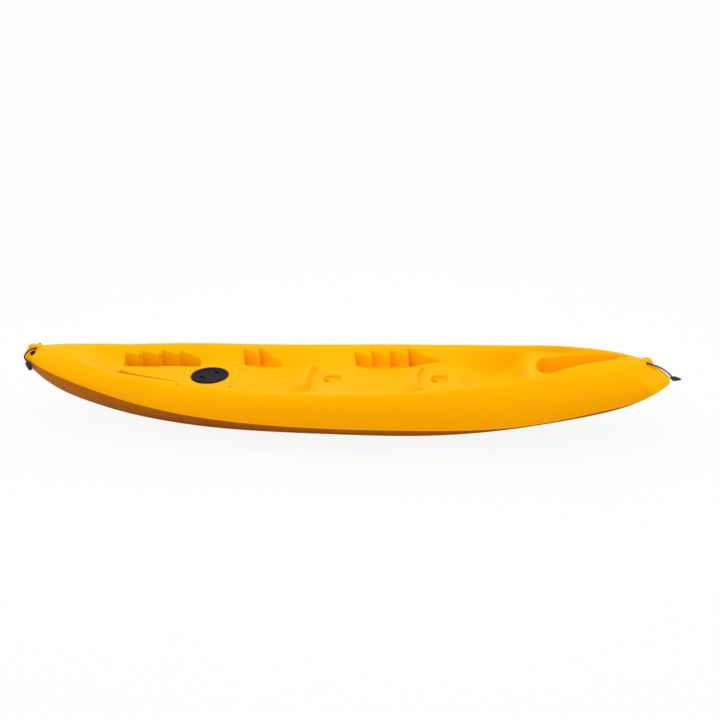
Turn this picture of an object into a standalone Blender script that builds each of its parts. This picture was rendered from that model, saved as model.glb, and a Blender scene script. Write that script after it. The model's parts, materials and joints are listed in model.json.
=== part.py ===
"""Sit-on-top family kayak: a hollow one-piece moulded hull with a screw-in deck
hatch, a drain plug and a rope-and-toggle carry handle at each end.

World frame, metres: +X runs from bow (-X) to stern (+X), +Y is starboard,
+Z is up.  The origin is on the centreline at mid length, on the flat keel face.
"""
import bpy
import bmesh
import math
import numpy as np
from mathutils import Matrix, Vector

# ------------------------------------------------------------------ hull dimensions
HULL_LENGTH = 3.700          # bow tip to stern tip
HALF_LENGTH = HULL_LENGTH / 2
WALL = 0.0055                # moulded wall
KEEL_TOP = 0.0               # height of the flat keel face
GAP = 0.0003                 # clearance between touching pieces

# Offsets of the hull, one row a station:
# x, half width at the parting line, height of the parting line, deck crown height,
# deck fullness, deck shoulder, keel height, bottom fullness
OFFSETS = (
    (-1.850, 0.030, 0.362, 0.393, 2.45, 1.83, 0.308, 1.80),
    (-1.740, 0.112, 0.343, 0.413, 2.10, 1.63, 0.196, 1.60),
    (-1.500, 0.206, 0.290, 0.413, 2.45, 1.55, 0.091, 2.00),
    (-1.020, 0.338, 0.215, 0.376, 5.65, 1.38, -0.003, 2.00),
    (-0.520, 0.393, 0.169, 0.348, 10.0, 1.31, -0.012, 2.45),
    (0.000, 0.406, 0.154, 0.351, 12.3, 1.33, -0.012, 2.38),
    (0.520, 0.394, 0.156, 0.384, 9.00, 1.36, -0.004, 2.35),
    (1.020, 0.343, 0.171, 0.438, 4.20, 1.54, 0.020, 1.40),
    (1.500, 0.233, 0.235, 0.458, 2.43, 1.79, 0.105, 1.18),
    (1.740, 0.118, 0.271, 0.412, 1.80, 1.79, 0.212, 1.18),
    (1.850, 0.024, 0.309, 0.331, 2.25, 1.80, 0.299, 1.12),
)
BOTTOM_SHOULDER = 1.06
# Line of the gunwale crest in plan: x, y
CREST = (
    (-1.60, .085), (-1.47, .130), (-1.38, .165), (-1.30, .200), (-1.15, .235), (-1.02, .262),
    (-0.75, .300), (-0.52, .325), (-0.20, .342), (0.00, .345), (0.30, .340),
    (0.52, .328), (0.80, .283), (1.00, .243), (1.10, .218), (1.20, .188),
    (1.30, .142), (1.41, .097), (1.53, .053), (1.62, .020))
# Edge of the flat floor inside the crest: x, y
FLOOR_HALF = (
    (-1.60, .015), (-1.47, .030), (-1.30, .050), (-1.02, .090), (-0.75, .135), (-0.52, .145),
    (0.00, .150), (0.52, .150), (0.80, .140), (0.95, .148), (1.05, .168),
    (1.12, .176), (1.20, .162), (1.30, .115), (1.41, .080), (1.53, .042), (1.62, .010))
# Centreline of the cockpit floor: console, hatch flat, front seat, middle seat, rear
# seat, rear backrest: x, z
FLOOR = (
    (-1.60, .425), (-1.50, .390), (-1.40, .342), (-1.30, .302), (-1.20, .284), (-0.95, .270),
    (-0.87, .2625), (-0.75, .2605), (-0.63, .2600), (-0.55, .242), (-0.40, .222),
    (-0.28, .230), (-0.20, .246), (-0.12, .259), (0.00, .269), (0.06, .264), (0.15, .241),
    (0.27, .235), (0.37, .250), (0.45, .271), (0.51, .281), (0.62, .286), (0.69, .280),
    (0.78, .262), (0.90, .258), (0.99, .285), (1.05, .345), (1.085, .374), (1.115, .380),
    (1.20, .386), (1.30, .402), (1.45, .428), (1.62, .470))
COCKPIT_START, COCKPIT_START_BLEND = -1.60, .06
COCKPIT_END, COCKPIT_END_BLEND = 1.62, .03

# Backrest ridges between the seats: x where it rises, crest from, crest to, foot, height,
# half width; each sweeps aft towards its ends
RIDGES = ((-0.360, -0.188, -0.177, -0.136, .044, .172),
          (0.280, 0.440, 0.455, 0.476, .028, .172))
RIDGE_SWEEP = 1.3            # per metre, times y squared
RIDGE_SWEEP_REACH = .15      # y beyond which the sweep stays constant
RIDGE_RISE_POWER = 1.6

# Foot wells, in pairs.  Each step starts with a square face and tapers inboard:
# x, y at the step, y where the step ends.  The steps lean aft towards the centreline
# from the line |y| = pivot.
WELLS = (
    dict(steps=((-1.307, .140, .137), (-1.2045, .169, .156),
                (-1.088, .196, .177), (-0.979, .207, .190)),
         end=-0.880, tail=(-0.850, .176), close=.014,
         inner=((-1.30, .042), (-0.775, .150)), floor=.130,
         outer_soft=.010, inner_soft=.010, lean=.18, pivot=.207),
    dict(steps=((-0.6135, .277, .248), (-0.514, .291, .245)),
         end=-0.430, tail=(-0.362, .214), close=.040,
         inner=((-0.62, .192), (-0.365, .218)), floor=.214,
         outer_soft=.010, inner_soft=.020, lean=.28, pivot=.291),
    dict(steps=((0.0565, .279, .251), (0.162, .290, .258),
                (0.270, .298, .256), (0.380, .305, .244)),
         end=0.482, tail=(0.566, .212), close=.040,
         inner=((0.05, .197), (0.56, .217)), floor=.228,
         outer_soft=.010, inner_soft=.020, lean=.25, pivot=.305),
)
STEP_TAPER_POWER = 1.4
STEP_FACE_SOFT = .006
WELL_UNDER = 3.5 * WALL      # least height of a well's floor above the bottom of the hull

# Stern tank well: outline x, y
TANK = ((1.10, .092), (1.15, .104), (1.20, .112), (1.26, .111), (1.30, .106), (1.41, .083),
        (1.53, .042), (1.61, .002))
TANK_FRONT, TANK_SWEEP = 1.118, 3.0
TANK_SWEEP_REACH = .2
TANK_SIDE_SOFT, TANK_FRONT_SOFT = .016, .020
TANK_FLOOR = 0.300
TANK_RISE_FROM, TANK_RISE = 1.3, .05     # the floor slopes up aft of here

# Scupper pockets (x0, x1, half width, depth) and scupper tubes (x, y)
POCKETS = ((-0.078, 0.022, .051, .019), (0.538, 0.634, .051, .019))
POCKET_CORNER, POCKET_SOFT = .03, .012
SCUPPERS = ((-0.060, 0.0), (0.556, 0.0), (-0.930, 0.150), (-0.930, -0.150), (1.240, 0.0))
SCUPPER_R, SCUPPER_TUBE_R = 0.0125, 0.0190

# End lugs that carry the rope
LUG_BOW = dict(x=-1.785, half_length=.042, half_width=.0180, top=.4290,
               hole_x=-1.775, hole_z=.4140)
LUG_STERN = dict(x=1.716, half_length=.032, half_width=.0200, top=.4405,
                 hole_x=1.720, hole_z=.4240)
LUG_SOFT_X, LUG_SOFT_Y = .026, .012
ROPE_HOLE_R = 0.0062


# ------------------------------------------------------------------ curves
def cubic(xs, ys, x):
    """Interpolating cubic through the knots, smooth in its second derivative."""
    xs, ys = np.asarray(xs, float), np.asarray(ys, float)
    n, span = len(xs), np.diff(xs)
    system, right = np.zeros((n, n)), np.zeros(n)
    for i in range(1, n - 1):
        system[i, i - 1] = span[i - 1]
        system[i, i] = 2 * (span[i - 1] + span[i])
        system[i, i + 1] = span[i]
        right[i] = 6 * ((ys[i + 1] - ys[i]) / span[i] - (ys[i] - ys[i - 1]) / span[i - 1])
    system[0, :3] = span[1], -(span[0] + span[1]), span[0]
    system[-1, -3:] = span[-1], -(span[-2] + span[-1]), span[-2]
    curv = np.linalg.solve(system, right)
    x = np.asarray(x, float)
    i = np.clip(np.searchsorted(xs, x) - 1, 0, n - 2)
    ahead, behind = xs[i + 1] - x, x - xs[i]
    return (curv[i] * ahead ** 3 + curv[i + 1] * behind ** 3) / (6 * span[i]) \
        + (ys[i] / span[i] - curv[i] * span[i] / 6) * ahead \
        + (ys[i + 1] / span[i] - curv[i + 1] * span[i] / 6) * behind


def monotone(table, x):
    """Monotone cubic through a table of pairs: no overshoot between knots."""
    knots = np.asarray(table, float)
    xs, ys = knots[:, 0], knots[:, 1]
    span, slope = np.diff(xs), np.diff(ys) / np.diff(xs)
    tangent = np.zeros(len(xs))
    tangent[0], tangent[-1] = slope[0], slope[-1]
    for i in range(1, len(xs) - 1):
        if slope[i - 1] * slope[i] > 0:
            before = 2 * span[i] + span[i - 1]
            after = span[i] + 2 * span[i - 1]
            tangent[i] = (before + after) / (before / slope[i - 1] + after / slope[i])
    x = np.clip(np.asarray(x, float), xs[0], xs[-1])
    i = np.clip(np.searchsorted(xs, x) - 1, 0, len(xs) - 2)
    u = (x - xs[i]) / span[i]
    return ((1 + 2 * u) * (1 - u) ** 2 * ys[i] + u * (1 - u) ** 2 * span[i] * tangent[i]
            + u * u * (3 - 2 * u) * ys[i + 1] + u * u * (u - 1) * span[i] * tangent[i + 1])


def ease(t):
    """0 to 1 with level ends."""
    t = np.clip(t, 0.0, 1.0)
    return t * t * (3 - 2 * t)


# ------------------------------------------------------------------ hull surfaces
def hull_section(x):
    """Hull offsets at x."""
    table = np.asarray(OFFSETS, float)
    x = np.clip(x, table[0, 0], table[-1, 0])

    def column(k):
        return cubic(table[:, 0], table[:, k], x)

    return dict(half=np.maximum(column(1), .004), parting=column(2), crown=column(3),
                fullness=np.exp(cubic(table[:, 0], np.log(table[:, 4]), x)),
                shoulder=column(5), keel=column(6), bottom_fullness=np.clip(column(7), .8, 4))


def crown(x, y, section=None, inset=0.0):
    """Height of the plain cambered deck, before anything is sunk into it."""
    s = section or hull_section(x)
    half = np.maximum(s["half"] - inset, .002)
    u = np.clip(np.abs(y) / half, 0, 1)
    return s["parting"] + (s["crown"] - inset - s["parting"]) \
        * np.clip(1 - u ** s["fullness"], 0, 1) ** (1 / s["shoulder"])


def bottom(x, y, section=None, inset=0.0):
    """Height of the bottom, cut off flat at the keel face."""
    s = section or hull_section(x)
    half = np.maximum(s["half"] - inset, .002)
    u = np.clip(np.abs(y) / half, 0, 1)
    z = s["parting"] - (s["parting"] - s["keel"] - inset) \
        * np.clip(1 - u ** s["bottom_fullness"], 0, 1) ** (1 / BOTTOM_SHOULDER)
    return np.maximum(z, KEEL_TOP + inset)


def well_mask(x, y, well):
    """1 inside a stepped foot well, 0 outside, soft over its walls."""
    across = np.abs(y)
    x = x - well["lean"] * (well["pivot"] - across)
    steps, end = well["steps"], well["end"]
    faces = [step[0] for step in steps] + [end]
    outer = np.full(np.broadcast(x, y).shape, -1.0)
    for k, (_, y_face, y_end) in enumerate(steps):
        t = np.clip((x - faces[k]) / (faces[k + 1] - faces[k]), 0, 1)
        inside = (x >= faces[k]) & (x < faces[k + 1])
        outer = np.where(inside, y_face + (y_end - y_face) * t ** STEP_TAPER_POWER, outer)
    tail_x, tail_y = well["tail"]
    t = np.clip((x - end) / (tail_x - end), 0, 1)
    last_y = steps[-1][2]
    outer = np.where((x >= end) & (x <= tail_x), last_y + (tail_y - last_y) * ease(t), outer)
    (x0, y0), (x1, y1) = well["inner"]
    inner = y0 + (y1 - y0) * (x - x0) / (x1 - x0)
    mask = ease((outer - across) / well["outer_soft"]) \
        * ease((across - inner) / well["inner_soft"] + 1)
    mask = mask * ease((tail_x - x) / well["close"]) * ease((x - faces[0]) / STEP_FACE_SOFT)
    return np.where((x >= faces[0]) & (x <= tail_x), mask, 0.0)


def slant(x, y):
    """How far a station is swept aft beside a foot well, to follow the lean of the steps."""
    across = np.abs(y)
    out = np.zeros(np.broadcast(x, y).shape)
    for well in WELLS:
        # fades in before the first step, and out after the last
        gate = ease((x - well["steps"][0][0] + .07) / .06) * ease((well["end"] + .07 - x) / .07)
        # fades out inboard of the well
        inboard = ease((across - well["inner"][0][1] + .09) / .05)
        out = out + well["lean"] * np.maximum(well["pivot"] - across, 0) * inboard * gate
    return out


def cockpit_floor(x, across):
    """Height of the cockpit floor with its backrest ridges."""
    sweep = RIDGE_SWEEP * np.minimum(across, RIDGE_SWEEP_REACH) ** 2 \
        * ease((x + .45) / .15) * ease((1.0 - x) / .2)
    floor = monotone(FLOOR, x - sweep)
    for start, crest_from, crest_to, foot_x, height, half in RIDGES:
        t = np.clip(1 - (across / half) ** 2, 0, 1)
        foot = (foot_x - crest_to) * (.2 + .8 * t)
        rise = np.clip((x - sweep - start) / (crest_from - start), 0, 1) ** RIDGE_RISE_POWER
        fall = 1 - ease((x - sweep - crest_to) / foot)
        floor = floor + height * ease(t / .6) * rise * fall
    return floor


def deck(x, y):
    """Height of the moulded deck."""
    x, y = np.broadcast_arrays(np.asarray(x, float), np.asarray(y, float))
    section = hull_section(x)
    across = np.abs(y)
    top = crown(x, y, section)

    # cockpit: a bowl from the crest line down to the floor
    crest_y, floor_y = monotone(CREST, x), monotone(FLOOR_HALF, x)
    rim = crown(x, crest_y, section)
    floor = cockpit_floor(x, across)
    side = ease((across - floor_y) / np.maximum(crest_y - floor_y, .01))
    bowl = np.where(across < crest_y, floor + (rim - floor) * side, top)
    inside = ease((x - COCKPIT_START) / COCKPIT_START_BLEND) \
        * ease((COCKPIT_END - x) / COCKPIT_END_BLEND)
    z = np.where(inside > 0, top + (np.minimum(bowl, top) - top) * inside, top)

    under = bottom(x, y, section) + WELL_UNDER
    for well in WELLS:
        mask = well_mask(x, y, well)
        z = z - mask * np.maximum(z - np.maximum(well["floor"], under), 0)

    for x0, x1, half_width, depth in POCKETS:
        middle, half_length = (x0 + x1) / 2, (x1 - x0) / 2
        out_x = np.maximum(np.abs(x - middle) - (half_length - POCKET_CORNER), 0)
        out_y = np.maximum(across - (half_width - POCKET_CORNER), 0)
        z = z - depth * ease((POCKET_CORNER - np.hypot(out_x, out_y)) / POCKET_SOFT)

    front = TANK_FRONT + TANK_SWEEP * np.minimum(across, TANK_SWEEP_REACH) ** 2
    mask = ease((monotone(TANK, x) - across) / TANK_SIDE_SOFT) \
        * ease((x - front) / TANK_FRONT_SOFT) * (x < TANK[-1][0])
    tank_floor = TANK_FLOOR + TANK_RISE * np.maximum(x - TANK_RISE_FROM, 0)
    z = z - mask * np.maximum(z - tank_floor, 0)

    for lug in (LUG_BOW, LUG_STERN):
        mask = ease((lug["half_length"] - np.abs(x - lug["x"])) / LUG_SOFT_X + .5) \
            * ease((lug["half_width"] - across) / LUG_SOFT_Y + .5)
        z = z + mask * np.maximum(lug["top"] - z, 0)
    return z


def surface_z(x, y):
    """Deck height at one place."""
    return float(deck(np.array([x]), np.array([y]))[0])


# ------------------------------------------------------------------ scene and materials
def clear_scene():
    for o in list(bpy.data.objects):
        bpy.data.objects.remove(o, do_unlink=True)
    for c in list(bpy.data.collections):
        bpy.data.collections.remove(c)


def collection(name):
    c = bpy.data.collections.new(name)
    bpy.context.scene.collection.children.link(c)
    return c


def material(name, rgb, rough, metal=0.0):
    m = bpy.data.materials.new(name)
    m.use_nodes = True
    shader = m.node_tree.nodes["Principled BSDF"]
    shader.inputs["Base Color"].default_value = (*rgb, 1)
    shader.inputs["Roughness"].default_value = rough
    shader.inputs["Metallic"].default_value = metal
    m.diffuse_color = (*rgb, 1)
    return m


clear_scene()
PARTS = collection("kayak")
CUTTERS = collection("cutters")
HULL_CUTS = collection("hull_cutters")

YELLOW = material("hull_polyethylene", rgb=(1.0, 0.50, 0.004), rough=0.42)
BLACK = material("black_hatch_plastic", rgb=(0.012, 0.011, 0.018), rough=0.45)
GASKET_RUBBER = material("black_seal_rubber", rgb=(0.010, 0.010, 0.010), rough=0.75)
O_RING_RUBBER = material("black_lid_seal_rubber", rgb=(0.012, 0.012, 0.012), rough=0.70)
STEEL = material("stainless_screw", rgb=(0.55, 0.55, 0.54), rough=0.32, metal=1.0)
BRASS = material("brass_insert", rgb=(0.60, 0.43, 0.16), rough=0.38, metal=1.0)
ROPE = material("black_brown_rope", rgb=(0.030, 0.018, 0.010), rough=0.85)
GRIP = material("black_grip_rubber", rgb=(0.016, 0.015, 0.020), rough=0.60)
FOAM = material("white_foam", rgb=(0.80, 0.80, 0.78), rough=0.95)


# ------------------------------------------------------------------ object helpers
def add(name, mesh, mat=None, where=PARTS):
    o = bpy.data.objects.new(name, mesh)
    where.objects.link(o)
    if mat:
        mesh.materials.append(mat)
    return o


def add_cutter(name, mesh, where=CUTTERS):
    o = add(name, mesh, where=where)
    o.hide_render = True
    o.display_type = 'WIRE'
    return o


def mesh_of(name, bm):
    """Mesh made from a bmesh, which is then freed."""
    mesh = bpy.data.meshes.new(name)
    bm.to_mesh(mesh)
    bm.free()
    return mesh


def smooth_faces(mesh, degrees):
    mesh.shade_smooth()
    mesh.set_sharp_from_angle(angle=math.radians(degrees))


def baked(o):
    """Mesh of an object with its modifiers applied."""
    bpy.context.view_layer.update()
    graph = bpy.context.evaluated_depsgraph_get()
    return bpy.data.meshes.new_from_object(o.evaluated_get(graph))


def cut(o, cutter, name, operation='DIFFERENCE'):
    m = o.modifiers.new(name, 'BOOLEAN')
    m.operation = operation
    m.solver = 'EXACT'
    m.object = cutter
    return m


def loft(name, rings, tips=None):
    """Closed skin through rings of equal length, ending in flat caps or in two points."""
    bm = bmesh.new()
    rows = [[bm.verts.new(p) for p in ring] for ring in rings]
    count = len(rows[0])
    for a, b in zip(rows, rows[1:]):
        for i in range(count):
            j = (i + 1) % count
            bm.faces.new((a[i], a[j], b[j], b[i]))
    for k, row in enumerate((rows[0], rows[-1])):
        if tips is None:
            bm.faces.new(row)
        else:
            tip = bm.verts.new(tips[k])
            for i in range(count):
                bm.faces.new((row[i], row[(i + 1) % count], tip))
    bmesh.ops.recalc_face_normals(bm, faces=bm.faces)
    return mesh_of(name, bm)


def thinned_loft(name, rings, ratio, tips=None):
    """Loft with fewer faces, alike on both sides of the centreline."""
    raw = add_cutter(name, loft(name, rings, tips))
    m = raw.modifiers.new("fewer_faces", 'DECIMATE')
    m.ratio = ratio
    m.use_symmetry = True
    m.symmetry_axis = 'Y'
    mesh = baked(raw)
    bpy.data.objects.remove(raw, do_unlink=True)
    return mesh


def profile_mesh(name, profile, closed=True):
    """Line through points of (radius, z)."""
    n = len(profile)
    edges = [(i, i + 1) for i in range(n - 1)] + ([(n - 1, 0)] if closed else [])
    mesh = bpy.data.meshes.new(name)
    mesh.from_pydata([(r, 0, z) for r, z in profile], edges, [])
    return mesh


def turn(o, steps):
    """Turn an object's profile about its Z."""
    m = o.modifiers.new("turn", 'SCREW')
    m.steps = m.render_steps = steps
    m.use_merge_vertices = True
    m.merge_threshold = 0.00001
    m.use_smooth_shade = True


def turned(name, profile, steps, mat, closed=True):
    o = add(name, profile_mesh(name, profile, closed), mat)
    turn(o, steps)
    return o


def cord_profile(ring_r, z, cord_r):
    """Six-sided section of an O-ring."""
    return [(ring_r + cord_r * math.cos(a), z + cord_r * math.sin(a))
            for a in (-2 * math.pi * k / 6 for k in range(6))]


def turn_to(direction):
    """Rotation that lays Z on a direction."""
    return Vector((0, 0, 1)).rotation_difference(Vector(direction)).to_matrix()


def cylinder(name, r, z0, z1, at, segments, axis=None):
    """Cylinder about Z from z0 to z1, then turned so Z lies on axis, then moved."""
    bm = bmesh.new()
    bmesh.ops.create_cone(bm, cap_ends=True, segments=segments, radius1=r, radius2=r,
                          depth=z1 - z0)
    bmesh.ops.translate(bm, verts=bm.verts, vec=(0, 0, (z0 + z1) / 2))
    if axis is not None:
        bmesh.ops.rotate(bm, verts=bm.verts, cent=(0, 0, 0), matrix=turn_to(axis))
    bmesh.ops.translate(bm, verts=bm.verts, vec=at)
    return mesh_of(name, bm)


def cylinder_cutter(name, items, where=HULL_CUTS, axis=None):
    """One cutter of several separate cylinders: radius, z0, z1, place."""
    bm = bmesh.new()
    for r, z0, z1, at in items:
        part = cylinder("tmp", r, z0, z1, at, 8 if r < .005 else 14, axis)
        bm.from_mesh(part)
        bpy.data.meshes.remove(part)
    return add_cutter(name, mesh_of(name, bm), where)


def box(name, size, centre):
    bm = bmesh.new()
    bmesh.ops.create_cube(bm, size=1)
    bmesh.ops.scale(bm, vec=size, verts=bm.verts)
    bmesh.ops.translate(bm, vec=centre, verts=bm.verts)
    return mesh_of(name, bm)


# ------------------------------------------------------------------ hull skin
DECK_COLUMNS, COCKPIT_COLUMNS, BOTTOM_COLUMNS = 28, 19, 9   # on each side
STATION_MIN_GAP = .0035
SKIN_KEPT = 0.20             # share of the skin's faces kept
# Stations added at the ridges and at the front of the tank well
EXTRA_STATIONS = (
    -.240, -.210, -.188, -.177, -.166, -.156, -.146, -.134, -.120, -.106, .440, .455, .462,
    .470, .477, .486, .496, .506, 1.04, 1.09, 1.118, 1.135, 1.155, 1.175)
# Rounding of each end: distance from the tip, scale of the last section
END_ROUNDING = ((.0008, .55), (.0032, .86))


def hull_stations():
    xs = set(np.round(np.linspace(-HALF_LENGTH + .008, HALF_LENGTH - .008, 62), 4))
    for well in WELLS:
        for step in well["steps"]:
            xs.update((round(step[0] - .0005, 4), round(step[0] + .0065, 4)))
        xs.update((well["end"], well["tail"][0]))
    for x0, x1, _, _ in POCKETS:
        xs.update((x0, x0 + POCKET_SOFT, x1 - POCKET_SOFT, x1))
    xs.update(EXTRA_STATIONS)
    for lug in (LUG_BOW, LUG_STERN):
        x, half = lug["x"], lug["half_length"]
        xs.update((x - half - .010, x - half + .010, x + half - .010, x + half + .010))
    out = []
    for x in sorted(round(float(v), 4) for v in xs):
        if not out or x - out[-1] > STATION_MIN_GAP:
            out.append(x)
    return out


def spread(y, z, n):
    """n+1 places along a section, closer together where it is steep."""
    run = np.concatenate([[0], np.cumsum(np.hypot(np.diff(y), 2.2 * np.diff(z)))])
    run = run + y / y[-1] * run[-1] * .35
    return np.interp(np.linspace(0, run[-1], n + 1), run, y)


def column_shares(x):
    """Places of the deck columns, as shares of the half width; one lies on the crest."""
    half = float(hull_section(x)["half"])
    edge = min(float(monotone(CREST, x)), .75 * half)
    inner, outer = np.linspace(0, edge, 500), np.linspace(edge, half, 200)
    inner_places = spread(inner, deck(x + slant(x, inner), inner), COCKPIT_COLUMNS)
    outer_places = edge + spread(outer - edge, deck(x + slant(x, outer), outer),
                                 DECK_COLUMNS - COCKPIT_COLUMNS)[1:]
    return np.concatenate([inner_places, outer_places]) / half


def skin_ring(x, shares, scale=1.0, at=None):
    """Hull section at a station, and its middle height; it may be scaled and moved to at."""
    section = hull_section(x)
    half = float(section["half"])
    places = shares * half
    low = half * np.sin(np.linspace(0, 1, BOTTOM_COLUMNS + 1) * np.pi / 2)
    ys = np.concatenate([-places[::-1], places[1:], low[::-1][1:], -low[1:-1]])
    n = 2 * DECK_COLUMNS + 1
    xs = np.concatenate([x + slant(x, ys[:n]), np.full(len(ys) - n, x)])
    zs = np.concatenate([deck(xs[:n], ys[:n]), bottom(xs[n:], ys[n:])])
    zs[0] = zs[n - 1] = float(section["parting"])
    middle = (zs.max() + zs.min()) / 2
    ys, zs = ys * scale, middle + (zs - middle) * scale
    if at is not None:
        xs = np.full(len(ys), at)
    return [(float(a), float(b), float(c)) for a, b, c in zip(xs, ys, zs)], float(middle)


def build_hull():
    xs = hull_stations()
    # columns drift slowly from station to station, so no long sliver crosses the gunwale
    near = np.exp(-((np.subtract.outer(xs, xs)) / .020) ** 2)
    columns = (near / near.sum(1, keepdims=True)) @ np.array([column_shares(x) for x in xs])
    rings = [skin_ring(x, shares)[0] for x, shares in zip(xs, columns)]
    bow, bow_z = [], 0.0
    stern, stern_z = [], 0.0
    for back, scale in END_ROUNDING:
        ring, bow_z = skin_ring(xs[0], columns[0], scale, -HALF_LENGTH + back)
        bow.append(ring)
        ring, stern_z = skin_ring(xs[-1], columns[-1], scale, HALF_LENGTH - back)
        stern.append(ring)
    tips = ((-HALF_LENGTH, 0, bow_z), (HALF_LENGTH, 0, stern_z))
    mesh = thinned_loft("skin_raw", bow + rings + stern[::-1], SKIN_KEPT, tips)
    for v in mesh.vertices:
        if v.co.z < 0.0008:
            v.co.z = KEEL_TOP
    mesh.name = "hull_shell"
    hull = add("hull_shell", mesh, YELLOW)
    smooth_faces(mesh, 28)
    openings = hull.modifiers.new("openings", 'BOOLEAN')
    openings.operation = 'DIFFERENCE'
    openings.solver = 'EXACT'
    openings.operand_type = 'COLLECTION'
    openings.collection = HULL_CUTS


# ------------------------------------------------------------------ threaded inserts
INSERTS = ((-0.600, 0.126), (-0.600, -0.126))    # x, y
INSERT_R, INSERT_DEPTH = 0.0080, 0.0120
INSERT_SINK = .0012          # top of the insert below the deck


def build_inserts():
    profile = [(.0068, 0), (INSERT_R, -.0010), (INSERT_R, -INSERT_DEPTH), (0, -INSERT_DEPTH),
               (0, -.0105), (.0030, -.0095), (.0030, 0)]
    for k, (x, y) in enumerate(INSERTS):
        o = turned("strap_insert_%d" % (k + 1), profile, 14, BRASS)
        o.location = (x, y, surface_z(x, y) - INSERT_SINK)


# ------------------------------------------------------------------ air space inside
AIR_STATIONS = np.concatenate([[-1.812, -1.800, -1.780], np.arange(-1.750, 1.76, .036),
                               [1.775, 1.795, 1.808]])
AIR_COLUMNS = 15             # on each side
AIR_KEPT = 0.10              # share of the air space's faces kept
AIR_CEILING = .460
THROUGH = (-.1, .6)          # heights that pass right through the hull
POST_WALL, POST_BASE = .006, .008    # solid left around and under an insert


def air_top(x, ys, half, dx):
    """Lowest deck around each point, less the wall, so flat facets stay inside the skin."""
    reach = np.linspace(-dx, dx, 9)
    dy = half / AIR_COLUMNS
    side = np.linspace(-dy, dy, 7)
    grid_x = (x + reach)[:, None, None]
    grid_y = (ys[None, :, None] + side[None, None, :])
    hull_half = hull_section(grid_x)["half"]
    cap = np.minimum(deck(grid_x, np.clip(grid_y, -hull_half, hull_half)), AIR_CEILING)
    low = np.where(np.abs(grid_y) < hull_half - .012, cap, 9.0).min(axis=(0, 2)) - WALL
    return np.minimum(low, crown(np.full_like(ys, x), ys, inset=WALL) - .0008)


def air_ring(k):
    """Section of the air space at its station k."""
    x = AIR_STATIONS[k]
    section = hull_section(x)
    half = float(section["half"]) - WALL
    after = AIR_STATIONS[min(k + 1, len(AIR_STATIONS) - 1)]
    before = AIR_STATIONS[max(k - 1, 0)]
    even = np.linspace(-1, 1, 2 * AIR_COLUMNS + 1)
    ys = half * np.sin(even * np.pi / 2) * .35 + half * even * .65
    top = air_top(x, ys, half, max(after - x, x - before))
    low = half * np.sin(np.linspace(0, 1, 8) * np.pi / 2)
    low_ys = np.concatenate([low[::-1][1:], -low[1:-1]])
    low_zs = bottom(np.full_like(low_ys, x), low_ys, inset=WALL)
    top = np.maximum(top, bottom(np.full_like(ys, x), ys, inset=WALL) + .003)
    top[0] = top[-1] = float(section["parting"])
    return [(float(x), float(b), float(c))
            for b, c in zip(np.concatenate([ys, low_ys]), np.concatenate([top, low_zs]))]


def build_air():
    """Cutter that hollows the hull, leaving solid posts at the scuppers and inserts."""
    rings = [air_ring(k) for k in range(len(AIR_STATIONS))]
    mesh = thinned_loft("air_raw", rings, AIR_KEPT)
    mesh.name = "cut_air"
    air = add_cutter("cut_air", mesh, HULL_CUTS)
    posts = [(SCUPPER_TUBE_R, *THROUGH, (x, y, 0)) for x, y in SCUPPERS]
    posts += [(INSERT_R + POST_WALL, surface_z(x, y) - INSERT_DEPTH - POST_BASE, THROUGH[1],
               (x, y, 0)) for x, y in INSERTS]
    cut(air, cylinder_cutter("cut_posts", posts, CUTTERS), "keep_posts")


# ------------------------------------------------------------------ hatch dimensions
# Heights of the hatch parts are measured from the seat.
HATCH_X, HATCH_SEAT_Z = -0.749, 0.2590
HATCH_AT = (HATCH_X, 0, HATCH_SEAT_Z)
RING_R, NECK_R, LID_R, BORE_R = 0.1100, 0.0915, 0.0856, 0.0782
HATCH_HOLE_R, SEAT_R = 0.0925, 0.1165
RING_H, LEDGE_Z, NECK_Z = 0.0072, -0.0120, -0.0200
GASKET_R, GASKET_BORE_R, GASKET_TOP = .1090, .0935, .0015
LID_SLIP = 0.0006            # running gap of the lid in its bore
LID_UNDER = -.0085           # underside of the lid's rim
PLUG_R, PLUG_Z = .0735, -.0190   # inside radius and foot of the lid's skirt
FINGER_ANGLES = (48, 228)    # degrees from +X
SCREW_CIRCLE_R, SCREW_COUNT = 0.1008, 8
SCREW_HOLE_R = .0023
SCREW_PLACES = [(HATCH_X + SCREW_CIRCLE_R * math.cos(a), SCREW_CIRCLE_R * math.sin(a))
                for a in (2 * math.pi * (k + .5) / SCREW_COUNT for k in range(SCREW_COUNT))]

# ------------------------------------------------------------------ drain dimensions
# Heights of the drain parts are measured along its axis from the bed sunk in the deck.
DRAIN_X, DRAIN_Y = -1.786, -0.0470
DRAIN_R = 0.0175
DRAIN_SINK = .0035
DRAIN_HOLE_R = .0115


def deck_normal(x, y, step=.012):
    slope_x = (surface_z(x + step, y) - surface_z(x - step, y)) / (2 * step)
    slope_y = (surface_z(x, y + step) - surface_z(x, y - step)) / (2 * step)
    return Vector((-slope_x, -slope_y, 1)).normalized()


DRAIN_AXIS = deck_normal(DRAIN_X, DRAIN_Y)
DRAIN_AT = Vector((DRAIN_X, DRAIN_Y, surface_z(DRAIN_X, DRAIN_Y))) - DRAIN_AXIS * DRAIN_SINK
DRAIN_PLACE = Matrix.Translation(DRAIN_AT) @ turn_to(DRAIN_AXIS).to_4x4()


# ------------------------------------------------------------------ openings in the hull
def hull_cylinder(name, *args, **options):
    add_cutter(name, cylinder(name, *args, **options), HULL_CUTS)


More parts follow.
